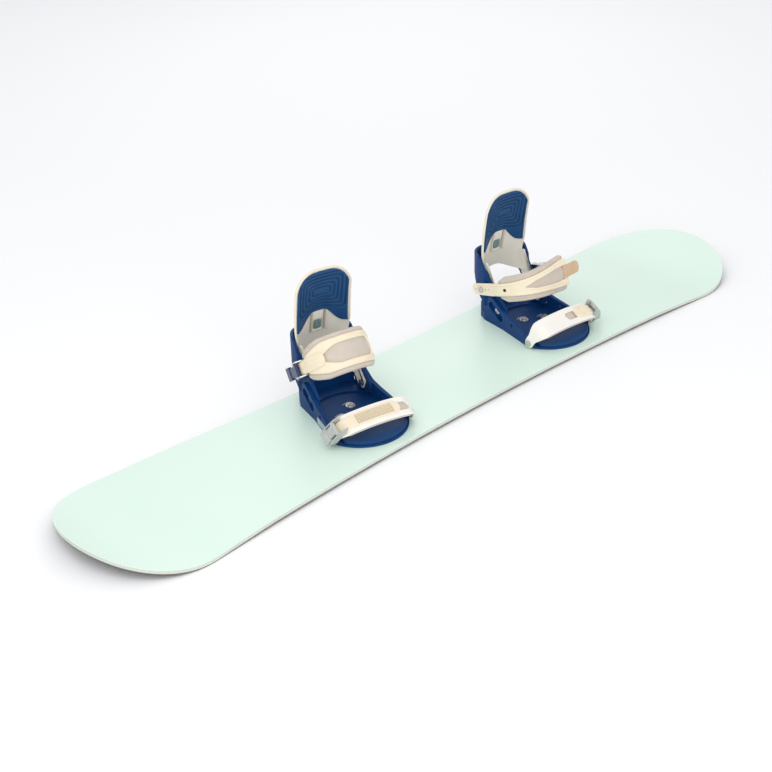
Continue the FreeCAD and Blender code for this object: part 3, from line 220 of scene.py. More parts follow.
striped_print = finish("printed_vinyl_stripes", "#24507f", "#1d4673", 12, (0.35, 0.45), 0.8, 0.01,
                       {"IOR": 1.5}, printed_stripes, space="UV")
for part in record["subparts"]:
    slots = nodes[part["node"]].data.materials
    slots.clear()
    slots.append(finishes[part["material_slot"]])
print(len(finishes), "finishes on", len(record["subparts"]), "nodes")

# %% [markdown]
# ## Camera, floor and light
# A long lens stands high in front of the nose and looks down the board.  The light is a pale
# studio: a bright room all round, a broad lamp high on the left, and a weak one on the right.

# %% Camera
AZIMUTH, ELEVATION, ROLL = (math.radians(a) for a in (-42.887, 29.420, -1.867))
CAMERA_PLACE = (-1.63537926, -1.64059855, 1.29851264)
back = np.array([math.sin(AZIMUTH) * math.cos(ELEVATION), -math.cos(AZIMUTH) * math.cos(ELEVATION),
                 math.sin(ELEVATION)])
level = np.cross((0.0, 0.0, 1.0), back)
level /= np.linalg.norm(level)
upright = np.cross(back, level)
right = math.cos(ROLL) * level + math.sin(ROLL) * upright
up = math.cos(ROLL) * upright - math.sin(ROLL) * level
camera = bpy.data.objects.new("camera", bpy.data.cameras.new("camera"))
bpy.context.scene.collection.objects.link(camera)
rows = [[right[i], up[i], back[i], CAMERA_PLACE[i]] for i in range(3)]
camera.matrix_world = Matrix(rows + [[0.0, 0.0, 0.0, 1.0]])
camera.data.sensor_width, camera.data.lens = 36.0, 70.10
camera.data.clip_end = 30.0
bpy.context.scene.camera = camera

# %% Floor and light
FLOOR_HALF = 6.0


def make_floor():
    """One flat square under the object, 12 m wide."""
    mesh = bpy.data.meshes.new("floor")
    h = FLOOR_HALF
    mesh.from_pydata([(-h, -h, 0), (h, -h, 0), (h, h, 0), (-h, h, 0)], [], [(0, 1, 2, 3)])
    made = bpy.data.objects.new("floor", mesh)
    bpy.context.scene.collection.objects.link(made)
    mesh.materials.append(finish("matt_studio_paper", "#fdfdfd", "#fbfbfb", 900, (0.9, 0.95), 3.0, 0.01))
    return made


def lamp(name, place, aim, size, power):
    """A square area lamp; its -Z axis is turned from its place to what it lights."""
    data = bpy.data.lights.new(name, "AREA")
    data.size, data.energy = size, power
    made = bpy.data.objects.new(name, data)
    bpy.context.scene.collection.objects.link(made)
    made.location = place
    made.rotation_mode = "QUATERNION"
    made.rotation_quaternion = (Vector(aim) - Vector(place)).to_track_quat("-Z", "Y")
    return made


make_floor()
lamp("key", (-1.6, -0.6, 2.4), (0.0, 0.0, 0.1), 1.8, 18.0)
lamp("fill", (-1.3, -2.6, 1.0), (0.0, 0.0, 0.2), 2.2, 22.0)
lamp("rim", (1.6, 1.8, 1.6), (0.0, 0.0, 0.1), 1.6, 6.0)
world = bpy.data.worlds.new("pale_room")
world.use_nodes = True
world.node_tree.nodes["Background"].inputs["Color"].default_value = linear("#fbfcff")
world.node_tree.nodes["Background"].inputs["Strength"].default_value = 0.82
bpy.context.scene.world = world
bpy.context.scene.view_settings.view_transform = "Standard"

# %% [markdown]
# ## Where a foot stands
# Every binding is drawn in its own frame in millimetres: x across the foot, y towards the heel, z up
# from the topsheet.  The record's mounts say where the two stand and the joints say how they are
# turned, so nothing is measured twice.  The rear one is a mirror image, which is one minus sign.

# %% From a binding's frame to the board's
DISC_HEIGHT = 11.6            # the record's foot mounts are this high above the topsheet
MIRROR = {"front": 1.0, "rear": -1.0}
mounts = {m["name"]: np.array(m["pos_m"]) for m in record["mounts"]}
axes = {j["name"]: np.array(j["axis"]) for j in frame["joints"]}


def on_foot(side, x, y, z):
    """Middle of the disc plus x across the foot, y towards the heel and z up, as rows of points."""
    across = axes[side + "_highback_fold"]
    heel = np.array([-across[1], across[0], 0.0])
    middle = mounts[side + "_foot"] - (0, 0, DISC_HEIGHT * MM)
    x, y, z = (np.asarray(v, float).ravel()[:, None] * MM for v in np.broadcast_arrays(x, y, z))
    return middle + x * MIRROR[side] * across + y * heel + z * np.array([0.0, 0.0, 1.0])


def on_strap(side, strap, x, s, t):
    """A strap's plane leans by its tilt: s runs up and forward from the bolts, t across the strap."""
    bolt_y, bolt_z, tilt = strap[side]
    c, n = math.cos(math.radians(tilt)), math.sin(math.radians(tilt))
    return on_foot(side, x, bolt_y - s * c - t * n, bolt_z + s * n - t * c)


ANKLE = {"front": (86.0, 62.0, 38.0), "rear": (86.0, 62.0, 17.0)}
TOE = {"front": (-60.0, 11.0, 62.0), "rear": (-60.0, 11.0, 62.0)}
print("front foot at", mounts["front_foot"].round(3), "rear foot at", mounts["rear_foot"].round(3))

# %% [markdown]
# ## From arrays to a mesh
# Shapes are worked out as whole arrays and handed over in one go.  A piece is a closed shell, so its
# faces can be made to point outwards whichever foot it belongs to.  The map that the weave follows
# is measured in metres, so one thread is the same size on every piece.

# %% Meshes
def quads(index, rows=slice(None)):
    """Faces between neighbouring rows and columns of a grid of vertex numbers."""
    a, b, c, d = index[:-1, :-1], index[:-1, 1:], index[1:, 1:], index[1:, :-1]
    return np.stack([a, b, c, d], -1)[rows].reshape(-1, 4)


def shell(outer, inner, index):
    """Two skins on the same grid, and walls round their four edges."""
    count = len(outer)
    walls = [index[:, 0], index[:, -1], index[0], index[-1]]
    faces = [quads(index), quads(index + count)] + [quads(np.stack([w, w + count])) for w in walls]
    return np.vstack([outer, inner]), np.vstack(faces)


def make_piece(name, points, faces, material, body, slot, cover=None, stands_for=(), sharp=38.0,
               painted_recess_shade=None):
    """Mesh a closed shell, turn its faces outwards, smooth it and hang it on its body."""
    faces = faces[np.array([len(set(f)) > 2 for f in faces.tolist()])]
    used, faces = np.unique(faces, return_inverse=True)
    faces = faces.reshape(-1, 4)
    mesh = bpy.data.meshes.new(name)
    mesh.from_pydata(points[used].tolist(), [], [list(dict.fromkeys(f)) for f in faces.tolist()])
    work = bmesh.new()
    work.from_mesh(mesh)
    bmesh.ops.recalc_face_normals(work, faces=work.faces)
    work.to_mesh(mesh)
    work.free()
    if cover is not None:
        corner = np.empty(len(mesh.loops), np.int32)
        mesh.loops.foreach_get("vertex_index", corner)
        layer = mesh.uv_layers.new(name="cover")
        layer.data.foreach_set("uv", (cover[used][corner] * MM).astype(np.float32).ravel())
    # The painted shade for the hollows is stored as a value on each vertex.
    if painted_recess_shade is not None:
        hollow_shade = mesh.attributes.new("painted_recess_shade", "FLOAT", "POINT")
        hollow_shade.data.foreach_set("value", painted_recess_shade[used].astype(np.float32))
    mesh.shade_smooth()
    mesh.set_sharp_from_angle(angle=math.radians(sharp))
    mesh.materials.append(material)
    made = bpy.data.objects.new(name, mesh)
    bpy.context.scene.collection.objects.link(made)
    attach(made, body)
    if stands_for:
        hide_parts(*stands_for)
    print(name, len(mesh.polygons), "faces")
    return made


def joined(*parts):
    """Several shells as one set of points and faces."""
    points, faces, count = [], [], 0
    for p, f in parts:
        points.append(p)
        faces.append(f + count)
        count += len(p)
    return np.vstack(points), np.vstack(faces)


def ease(value, low, high):
    """0 below low, 1 above high, and three t squared less two t cubed between them."""
    t = np.clip((value - low) / (high - low), 0.0, 1.0)
    return t * t * (3 - 2 * t)


def bead(value, middle, width):
    """A smooth ridge: e to the minus of the squared distance from its middle."""
    return np.exp(-((value - middle) / width) ** 2)


# %% [markdown]
# ## The highback shell
# A highback is a thin nylon shell that stands behind the calf.  Seen from above each slice is an arc
# whose radius grows with height, and its back follows the calf.  The shell here is one sheet over
# height and half-width with a skin in front and one behind.  Its lower front has the channels and
# the ledge round the clip, and two flat wings reach down to the pivots.

# %% Shell surface
BACK_Z = np.array([60.0, 120.0, 160.0, 200.0, 250.0])
BACK_Y = np.array([122.0, 118.0, 109.0, 99.0, 83.5])
back_curve = np.polyfit(BACK_Z - 150.0, BACK_Y, 4)
SHELL_BOTTOM, SHELL_TOP, SHELL_HALF, SHELL_CORNER, SHELL_THICK = 72.0, 241.0, 52.5, 38.0, 3.5
SHELL_ARC, SHELL_ARC_Z, SHELL_FLARE = 50.0, 80.0, 0.47     # radius at a height, and its growth
WING_OUT, WING_THICK = 48.2, 3.4


def on_shell(x, z, depth):
    """y on the slice's arc: centre plus the root of its radius squared less x squared."""
    radius = SHELL_ARC + SHELL_FLARE * (z - SHELL_ARC_Z)
    inner = radius - depth
    return np.polyval(back_curve, z - 150.0) - radius + np.sqrt(np.maximum(inner ** 2 - x ** 2, 1.0))


def shell_half(z):
    """48.2 between the wings, wider above them, and two quarter circles at the top."""
    half = WING_OUT + (SHELL_HALF - WING_OUT) * ease(z, 104.0, 142.0)
    above = np.clip(z - (SHELL_TOP - SHELL_CORNER), 0.0, SHELL_CORNER)
    return half - SHELL_CORNER + np.sqrt(np.maximum(SHELL_CORNER ** 2 - above ** 2, 0.0))


def shell_rows(count):
    """Heights that crowd together at the top, where the corners turn in quickly."""
    turn = np.linspace(0.0, np.pi / 2, count // 3)
    straight = np.linspace(SHELL_BOTTOM, SHELL_TOP - SHELL_CORNER, count - count // 3, endpoint=False)
    return np.concatenate([straight, SHELL_TOP - SHELL_CORNER + SHELL_CORNER * np.sin(turn)])


def highback_shell(side):
    """Depth is the wall, plus a raised panel, less two channels and the clip's seat."""
    z = shell_rows(180)[:, None]
    share = np.linspace(-1.0, 1.0, 141)[None, :]
    x = share * shell_half(z)
    z = np.broadcast_to(z, x.shape)
    arch = 10.0 * (1 - ease(np.abs(x), 8.0, 40.0)) * (1 - ease(z, SHELL_BOTTOM, 105.0))
    z = z + arch
    panel = ease(z, 112.0, 115.0) * (1 - ease(np.abs(x), 17.5, 19.5)) * (1 - ease(z, 156.0, 170.0))
    channel = bead(np.abs(x), 13.0, 2.6) * ease(z, 112.0, 115.0) * (1 - ease(z, 154.0, 164.0))
    seat = (1 - ease(np.abs(x), 8.5, 9.5)) * ease(z, 117.5, 118.5) * (1 - ease(z, 138.0, 139.0))
    depth = SHELL_THICK + 2.6 * panel - 4.2 * channel - 2.2 * seat
    outer = on_foot(side, x, on_shell(x, z, 0.0), z)
    inner = on_foot(side, x, on_shell(x, z, depth), z)
    body = shell(outer, inner, np.arange(x.size).reshape(x.shape))
    points, faces = joined(body, *(wing(side, way) for way in (1.0, -1.0)))
    # Painted shade: the skin that faces the foot is darkened in the two channels and, less, in the clip's seat.
    hollow_shade = np.zeros(len(points))
    hollow_shade[x.size:2 * x.size] = (0.8 * channel + 0.25 * seat * (1 - channel)).ravel()
    return points, faces, hollow_shade


# %% Wings
def rounded(corners, steps=8):
    """A polygon whose corners are arcs; each corner is x, y and its radius."""
    points = []
    count = len(corners)
    for i, (cx, cy, radius) in enumerate(corners):
        here = np.array([cx, cy])
        a = np.array(corners[i - 1][:2]) - here
        b = np.array(corners[(i + 1) % count][:2]) - here
        a, b = a / np.linalg.norm(a), b / np.linalg.norm(b)
        half = math.acos(float(np.clip(a @ b, -1, 1))) / 2
        reach = radius / math.tan(half)
        t = np.linspace(0.0, 1.0, steps)[:, None]
        curve = (1 - t) ** 2 * (here + a * reach) + 2 * t * (1 - t) * here + t ** 2 * (here + b * reach)
        points.append(curve)
    return np.vstack(points)


WING_OUTLINE = [(36.0, 35.0, 5.0), (43.0, 18.0, 7.0), (58.0, 23.0, 5.0), (96.0, 74.0, 8.0),
                (97.0, 108.0, 4.0), (84.0, 112.0, 3.0), (72.0, 72.0, 20.0)]


def wing(side, way):
    """A flat plate: rings of its outline, the two outer ones drawn in by 0.6 mm to soften its edge."""
    outline = rounded(WING_OUTLINE)
    middle = outline.mean(0)
    rings = []
    for x, shrink in ((0.0, 0.985), (0.6, 1.0), (WING_THICK - 0.6, 1.0), (WING_THICK, 0.985)):
        ring = middle + (outline - middle) * shrink
        rings.append(on_foot(side, way * (WING_OUT - x), ring[:, 0], ring[:, 1]))
    count = len(outline)
    index = np.arange(4 * count).reshape(4, count)
    index = np.hstack([index, index[:, :1]])
    flat = []
    for ring in (index[0, :-1], index[-1, :-1]):
        half = count // 2
        flat.append(quads(np.stack([ring[:half], ring[::-1][:half]])))
    return np.vstack(rings), np.vstack([quads(index), *flat])


for side in MIRROR:
    points, faces, hollow_shade = highback_shell(side)
    make_piece(side + "_highback_shell", points, faces, finishes["ivory_plastic"],
               side + "_highback_body", "ivory_plastic", stands_for=[side + "_highback"], painted_recess_shade=hollow_shade)

# %% [markdown]
# The lean adjuster's clip is a moulded plate that hooks over the shell's ledge, with a hole through
# which its stud's screw is reached.  It is rings of points: the hole's rim first, then out to the
# plate's rounded edge and down its sides, so the hole is a real one.

# %% Clip
CLIP_Z, CLIP_HALF_X, CLIP_HALF_Z, CLIP_HOLE, CLIP_HOLE_UP = 128.0, 6.9, 8.4, 2.1, 3.0


def clip(side):
    """A ring runs from the hole's circle to a squarish curve, where |x|^6 + |z|^6 is constant."""
    turn = np.linspace(0.0, 2 * np.pi, 65)[:-1]
    c, n = np.cos(turn), np.sin(turn)
    square = (np.abs(c) ** 6 + np.abs(n) ** 6) ** (-1 / 6)
    rings = []
    profile = ((0.0, -0.1), (0.0, 2.6), (0.06, 3.2), (0.5, 3.4), (0.94, 3.2), (1.0, 2.6), (1.0, -0.1))
    for share, height in profile:
        x = (1 - share) * CLIP_HOLE * c + share * CLIP_HALF_X * square * c
        z = CLIP_Z + (1 - share) * (CLIP_HOLE_UP + CLIP_HOLE * n) + share * CLIP_HALF_Z * square * n
        rings.append(on_foot(side, x, on_shell(0 * x, z, SHELL_THICK + height), z))
    index = np.arange(7 * 64).reshape(7, 64)
    index = np.vstack([np.hstack([index, index[:, :1]]), np.append(index[0], index[0, 0])])
    return np.vstack(rings), quads(index)


for side in MIRROR:
    make_piece(side + "_lean_clip_plate", *clip(side), finishes["teal_plastic"], side + "_highback_body",
               "teal_plastic", stands_for=[side + "_lean_clip"])

# %% [markdown]
# The shell's edge has a soft rim moulded over it in a lighter cream.  It is a round bead carried up
# one side, over the top and down the other, a profile along a path, and its ends are drawn to points.

# %% Rim
def rim(side):
    """Rings 5 mm deep and 3.6 mm wide, centred on the shell's edge."""
    run = np.linspace(-1.0, 1.0, 321)
    level = SHELL_TOP - SHELL_CORNER
    straight, arc = level - 104.0, SHELL_CORNER * np.pi / 2
    flat = SHELL_HALF - SHELL_CORNER
    far = np.abs(run) * (straight + arc + flat)
    turn = np.clip((far - flat) / SHELL_CORNER, 0.0, np.pi / 2)
    z = level + SHELL_CORNER * np.cos(turn) - np.clip(far - flat - arc, 0.0, None)
    x = np.minimum(far, flat) + SHELL_CORNER * np.sin(turn)
    x = np.sign(run) * np.where(z < level, shell_half(z), x)
    slim = np.sqrt(ease(1 - np.abs(run), 0.0, 0.05)) + 0.02
    around = np.linspace(0.0, 2 * np.pi, 17)[:-1]
    out_x, out_z = np.sign(run) * np.sin(turn), np.cos(turn)
    wide = 1.7 * np.cos(around)[None, :] * slim[:, None]
    deep = 2.6 * np.sin(around)[None, :] * slim[:, None]
    px = x[:, None] + out_x[:, None] * wide
    pz = z[:, None] + out_z[:, None] * wide
    py = on_shell(x, z, SHELL_THICK / 2)[:, None] - deep
    index = np.arange(px.size).reshape(px.shape)
    ends = [quads(np.stack([row[:8], row[::-1][:8]])) for row in (index[0], index[-1])]
    return on_foot(side, px, py, pz), np.vstack([quads(np.hstack([index, index[:, :1]])), *ends])


for side in MIRROR:
    make_piece(side + "_highback_rim", *rim(side), rim_cream, side + "_highback_body", "ivory_plastic")

# %% [markdown]
# ## The highback's foam
# The foam is pressed in a heated mould, so its grooves are soft and its edge thins to nothing where
# it is glued down.  The grooves are level lines of the distance from a rounded rectangle, which is
# how a real one is drawn.  Shaping the surface gives truer shade than painting a bump on it.

# %% Foam pad
PAD_HALF, PAD_TOP, PAD_CORNER, PAD_THICK = 48.6, 237.6, 34.0, 4.5


def pad_bottom(x):
    """Low tips at the sides and a smooth arch over the clip."""
    return 130.5 + 25.5 * (1 - ease(np.abs(x), 10.0, 42.0))


def foam(side):
    """Distances from three sides blend into one; thickness is the pad's, crowned, less the grooves."""
    share = np.sin(np.linspace(-np.pi / 2, np.pi / 2, 171))[None, :]
    up = np.linspace(0.0, 1.0, 181)[:, None]
    x = share * PAD_HALF
    beyond = np.clip(np.abs(x) - (PAD_HALF - PAD_CORNER), 0.0, PAD_CORNER)
    top = PAD_TOP - PAD_CORNER + np.sqrt(PAD_CORNER ** 2 - beyond ** 2)
    low = pad_bottom(x)
    z = low + up * (top - low)
    x = np.broadcast_to(x, z.shape)
    edge = np.minimum(np.minimum((PAD_HALF - np.abs(x)), (z - low)), top - z)
    roll = np.sqrt(np.clip(1 - (1 - np.clip(edge / 3.2, 0.0, 1.0)) ** 2, 0.0, 1.0))
    floor = 160.0 + 7.0 * (1 - ease(np.abs(x), 0.0, 40.0))
    insets = np.stack([PAD_HALF - 7.0 - np.abs(x), PAD_TOP - 8.0 - z, z - floor])
    sharp = 0.30
    inset = -np.log(np.exp(-insets * sharp).sum(0)) / sharp
    grooves = sum(bead(inset, level, 1.1) for level in (-2.0, 4.5, 11.0, 17.5, 24.0))
    crown = 1.2 * ease(inset, 0.0, 24.0)
    thick = roll * (PAD_THICK - 0.4 + crown - 2.0 * grooves)
    skin = on_foot(side, x, on_shell(x, z, SHELL_THICK + np.maximum(thick, 0.02)), z)
    glue = on_foot(side, x, on_shell(x, z, SHELL_THICK - 0.3), z)
    # Painted shade: the foam's outer skin is darkened along its grooves.
    hollow_shade = 0.55 * np.clip(grooves, 0.0, 1.0).ravel()
    return *shell(skin, glue, np.arange(x.size).reshape(x.shape)), np.concatenate([hollow_shade, 0 * hollow_shade])


for side in MIRROR:
    points, faces, hollow_shade = foam(side)
    pad = make_piece(side + "_highback_foam", points, faces, finishes["navy_foam"],
                     side + "_highback_body", "navy_foam", stands_for=[side + "_highback_pad"], sharp=60,
                     painted_recess_shade=hollow_shade)

# %% [markdown]
# ## Paths of the straps
# A strap is a flat pattern bent round the foot, so it is drawn flat and then wrapped.  The path is
# straight runs joined by arcs, with a point and an outward normal for every half millimetre.  A
# point of the pattern goes to its distance along the path, its height above it, and t across it.

# %% Paths
def follow(corners, step=0.5):
    """At each corner an arc of its radius touches both runs; returns run, x, s and the normals."""
    pts = [np.array(c[:2], float) for c in corners]
    here, parts = pts[0], []
    for i, corner in enumerate(corners[1:-1], 1):
        a, b = pts[i] - pts[i - 1], pts[i + 1] - pts[i]
        a, b = a / np.linalg.norm(a), b / np.linalg.norm(b)
        turn = math.atan2(a[0] * b[1] - a[1] * b[0], float(a @ b))
        start = pts[i] - a * corner[2] * math.tan(abs(turn) / 2)
        centre = start + math.copysign(corner[2], turn) * np.array([-a[1], a[0]])
        parts.append(np.linspace(here, start, max(2, int(np.linalg.norm(start - here) / step))))
        w = np.linspace(0.0, turn, max(3, int(abs(turn) * corner[2] / step)))[:, None]
        d = start - centre
        parts.append(centre + np.cos(w) * d + np.sin(w) * np.array([-d[1], d[0]]))
        here = parts[-1][-1]
    parts.append(np.linspace(here, pts[-1], max(2, int(np.linalg.norm(pts[-1] - here) / step))))
    line = np.vstack(parts)
    return measured(line)


def measured(line):
    """Run is the sum of the steps so far; the normal is the way across the path, away from the foot."""
    keep = np.append(True, np.linalg.norm(np.diff(line, axis=0), axis=1) > 1e-6)
    line = line[keep]
    run = np.append(0.0, np.cumsum(np.linalg.norm(np.diff(line, axis=0), axis=1)))
    way = np.gradient(line, run, axis=0)
    way /= np.linalg.norm(way, axis=1)[:, None]
    return {"run": run, "x": line[:, 0], "s": line[:, 1], "nx": way[:, 1], "ns": -way[:, 0]}


def at(path, run, name):
    """A value of the path at a run, by straight interpolation."""
    return np.interp(run, path["run"], path[name])


def wrap(side, strap, path, run, height, t):
    """Path point at run, plus height along the normal, at t across the strap."""
    run = np.broadcast_to(run, np.shape(t))
    x = at(path, run, "x") + height * at(path, run, "nx")
    s = at(path, run, "s") + height * at(path, run, "ns")
    return on_strap(side, strap, x, s, t)


ANKLE_IN, CREST = 57.8, 103.0
ankle_path = {
    "front": follow([(ANKLE_IN, -60.0), (ANKLE_IN, CREST, 57.78), (-ANKLE_IN, CREST, 57.78),
                     (-ANKLE_IN, -60.0)]),
    "rear": follow([(ANKLE_IN, -60.0), (ANKLE_IN, CREST, 56.8), (-15.0, CREST, 150.0), (-133.0, 81.43)]),
}
toe_path = follow([(74.0, -40.0), (74.0, 6.0, 12.0), (62.0, 30.0, 24.0), (0.0, 40.0, 300.0),
                   (-62.0, 30.0, 24.0), (-74.0, 6.0, 12.0), (-74.0, -40.0)])


def run_at(path, name, value, last=False):
    """The run where the path first, or last, is above a value of x or s."""
    found = np.nonzero(path[name] >= value)[0]
    return path["run"][found[-1 if last else 0]]


# %% [markdown]
# ## Sheets with a slit
# Both strap frames are plates with a teardrop window, so the pattern is two bands that part where
# the window opens.  The two middle columns of vertices are one where there is no window, so the
# plate is a single closed shell with a true hole.

# %% Strap plates
def strap_plate(side, strap, path, run, half, gap, face, back, columns=15):
    """Columns crowd to the edges; face and back give heights from the distance to the nearest edge."""
    spread = (1 - np.cos(np.linspace(0.0, np.pi, columns))) / 2
    reach = gap[:, None] + (half - gap)[:, None] * spread
    t = np.hstack([-reach[:, ::-1], reach])
    open_edge = np.where(gap[:, None] > 0, np.abs(t) - gap[:, None], 99.0)
    edge = np.minimum(half[:, None] - np.abs(t), open_edge)
    along = np.broadcast_to(run[:, None], t.shape)
    outer = wrap(side, strap, path, along, face(edge, t, along), t)
    inner = wrap(side, strap, path, along, back(edge, t, along), t)
    index = np.arange(t.size).reshape(t.shape)
    shut = gap <= 0
    index[shut, columns] = index[shut, columns - 1]
    count = t.size
    lower, upper = index[:, :columns], index[:, columns:]
    faces = [quads(lower), quads(upper), quads(lower + count), quads(upper + count)]
    walls = [index[:, 0], index[:, -1], lower[0], upper[0], lower[-1], upper[-1]]
    faces += [quads(np.stack([w, w + count])) for w in walls]
    parted = ~(shut[:-1] & shut[1:])
    for column in (columns - 1, columns):
        w = index[:, column]
        faces.append(quads(np.stack([w, w + count], 1), parted))
    cover = np.stack([along.ravel(), t.ravel()], 1)
    return np.vstack([outer, inner]), np.vstack(faces), np.vstack([cover, cover])


def smooth_steps(value, places, sizes):
    """Sizes at places, joined by straight runs whose corners are smoothed over 8 mm."""
    fine = np.linspace(min(places) - 40, max(places) + 40, 600)
    curve = np.interp(fine, places, sizes)
    kernel = np.hanning(31)
    curve = np.convolve(np.pad(curve, 15, "edge"), kernel / kernel.sum(), "valid")
    return np.interp(value, fine, curve)


def teardrop(place, point, round_end, half):
    """Half width of a window: it grows from its point and ends in a half circle."""
    way = 1.0 if round_end > point else -1.0
    far = (place - point) * way
    length = abs(round_end - point)
    wedge = half * ease(far, -6.0, 46.0)
    end = np.sqrt(np.clip(half ** 2 - np.clip(far - (length - half), 0.0, half) ** 2, 0.0, None))
    return np.where((far > 0) & (far < length), np.minimum(wedge, end), 0.0)


# %% [markdown]
# ## Ankle straps
# The cream frame is injected polyurethane with a raised bead along each edge, which stiffens it.  It
# is widest over the instep and narrows to the arm that is bolted to the hoop.  The rear strap is
# shown undone, so its path leaves the foot and droops.

# %% Ankle frames
FRAME_THICK = 3.5
BAND_WIDTH = {"front": 6.5, "rear": 10.5}     # least width of a band beside the window
WINDOW = {"front": (-60.0, 57.0, 16.5), "rear": (34.0, -96.0, 13.0)}   # point, round end, half width


def moulded_face(edge, t, run):
    """The plate's thickness, a bead 2.8 mm in from each edge, and a rolled corner."""
    corner = 1.1 * np.clip(1 - edge / 1.5, 0.0, 1.0) ** 2
    return FRAME_THICK - corner + 0.75 * bead(edge, 2.8, 1.0) - 0.25 * bead(edge, 5.2, 0.8)


def flush_back(edge, t, run):
    """Flat on the padding, with the last millimetre rounded."""
    return 0.4 * np.clip(1 - edge / 1.0, 0.0, 1.0) ** 2


def ankle_half(side, x, s, pad=False):
    """Half width by height on each side of the foot; the undone frame also tapers to its arm."""
    if pad:
        near, far = ([44, 66, 84], [14, 25, 35.5]), ([44, 62, 84], [21, 29, 35.5])
    else:
        near, far = ([34, 60, 84], [12, 15, 27]), ([48, 66, 88], [13, 19, 27])
    half = np.where(x > 0, smooth_steps(s, *near), smooth_steps(s, *far))
    if side == "rear":
        taper = [33.5, 24.0] if pad else [25.5, 12.0]
        half = np.minimum(smooth_steps(s, *near), np.interp(x, [-57.5, 57.5], taper))
    return half


def rounded_end(run, half, end, radius):
    """Draw the half width in to a rounded end that is radius long, at the run called end."""
    far = np.clip(np.abs(run - end) / radius, 0.0, 1.0)
    return half - min(radius, float(half.min())) * (1 - np.sqrt(1 - (1 - far) ** 2)) * 0.98


def ankle_frame(side):
    """The plate from the arm's end to the crest's far side, or to the undone end."""
    path = ankle_path[side]
    start = run_at(path, "s", 34.2)
    stop = run_at(path, "s", 52.0, True) if side == "front" else run_at(path, "x", -72.0, True)
    run = np.linspace(start, stop, 300)
    x, s = at(path, run, "x"), at(path, run, "s")
    half = ankle_half(side, x, s)
    half = rounded_end(run, half, stop, 5.0)
    place = path["run"][np.argmin(np.abs(path["x"]) + (path["s"] < 60) * 99)] - run
    window = WINDOW[side]
    gap = np.minimum(teardrop(place, *window), half - BAND_WIDTH[side])
    return strap_plate(side, ANKLE, path, run, half, np.maximum(gap, 0.0), moulded_face, flush_back, 13)


for side in MIRROR:
    points, faces, cover = ankle_frame(side)
    make_piece(side + "_ankle_bands", points, faces, finishes["cream_plastic"], side + "_ankle_strap",
               "cream_plastic", cover, [side + "_ankle_frame"])

# %% [markdown]
# ## Ankle and toe padding
# The padding is foam in coated cloth, rolled over at its edge and sewn 6 mm in, where the seam pulls
# it down.  It lies flat under the plate, swells a little in the window, and its border stands up
# beside the plate.

# %% Padding
def padding(side, strap, path, run, half, plate_half, gap, thick, columns=31):
    """Both faces roll round the edge; the outer one swells where no plate lies on it."""
    def swell(t, run_now):
        """1.5 mm in the window and 1.6 mm beside the plate, both eased in."""
        free = np.interp(run_now, run, gap) - np.abs(t)
        inside = 1.5 * ease(free, 0.0, 9.0)
        beside = np.abs(t) - np.interp(run_now, run, plate_half)
        return inside + 1.6 * ease(beside, 0.2, 3.0)

    def rolled(edge):
        """A quarter circle: the root of 1 less (1 - edge over half the thickness) squared."""
        return np.sqrt(np.clip(1 - (1 - np.clip(edge / (thick / 2), 0.0, 1.0)) ** 2, 0.0, 1.0))

    def face(edge, t, run_now):
        """The outer side, pulled down along the seam."""
        ends = np.minimum(run_now - run[0], run[-1] - run_now)
        near = np.minimum(edge, ends)
        top = -0.06 + swell(t, run_now) - 0.9 * bead(near, 5.2, 0.7)
        return -thick / 2 + (top + thick / 2) * rolled(near)

    def back(edge, t, run_now):
        """The side that lies on the foot, a little crowned."""
        ends = np.minimum(run_now - run[0], run[-1] - run_now)
        near = np.minimum(edge, ends)
        top = thick / 2 + 0.5 * ease(near, 2.0, 14.0) - 0.8 * bead(near, 5.2, 0.7)
        return -thick / 2 - 0.02 - (top - 0.5) * rolled(near)

    return strap_plate(side, strap, path, run, half, np.zeros_like(run), face, back, columns)


for side in MIRROR:
    path = ankle_path[side]
    start = run_at(path, "s", 44.5)
    stop = run_at(path, "s", 44.5, True) if side == "front" else run_at(path, "x", -68.0, True)
    run = np.linspace(start, stop, 260)
    x, s = at(path, run, "x"), at(path, run, "s")
    half = rounded_end(run, rounded_end(run, ankle_half(side, x, s, True), start, 8.0), stop, 9.0)
    place = path["run"][np.argmin(np.abs(path["x"]) + (path["s"] < 60) * 99)] - run
    window = WINDOW[side]
    gap = np.maximum(np.minimum(teardrop(place, *window), ankle_half(side, x, s) - BAND_WIDTH[side]), 0.0)
    points, faces, cover = padding(side, ANKLE, path, run, half, ankle_half(side, x, s), gap, 7.0)
    pad = make_piece(side + "_ankle_padding", points, faces, finishes["greige_padding"],
                     side + "_ankle_strap", "greige_padding", cover, [side + "_ankle_pad"], 60)

# %% [markdown]
# ## Toe straps
# The toe strap's white frame goes over the toes and down to a bolt on each side.  Its window is
# short, and the ladder lies on its outer half.

# %% Toe frames and padding
def toe_half(s):
    """Narrow at the bolts, full width from 26 mm up."""
    return smooth_steps(s, [-9.5, 10.0, 27.0], [9.5, 9.5, 18.5])


def toe_face(edge, t, run):
    """3 mm thick, with a rounded corner and a low bead beside it."""
    return 3.0 - 1.0 * np.clip(1 - edge / 1.4, 0.0, 1.0) ** 2 + 0.5 * bead(edge, 2.4, 0.9)


def short_window(place, low, high, half):
    """A slot with round ends, as a half width by place across the foot."""
    middle, reach = (low + high) / 2, (high - low) / 2
    over = np.clip(np.abs(place - middle) - (reach - half), 0.0, half)
    gap = np.sqrt(np.clip(half ** 2 - over ** 2, 0.0, None))
    return np.where(np.abs(place - middle) < reach, gap, 0.0)


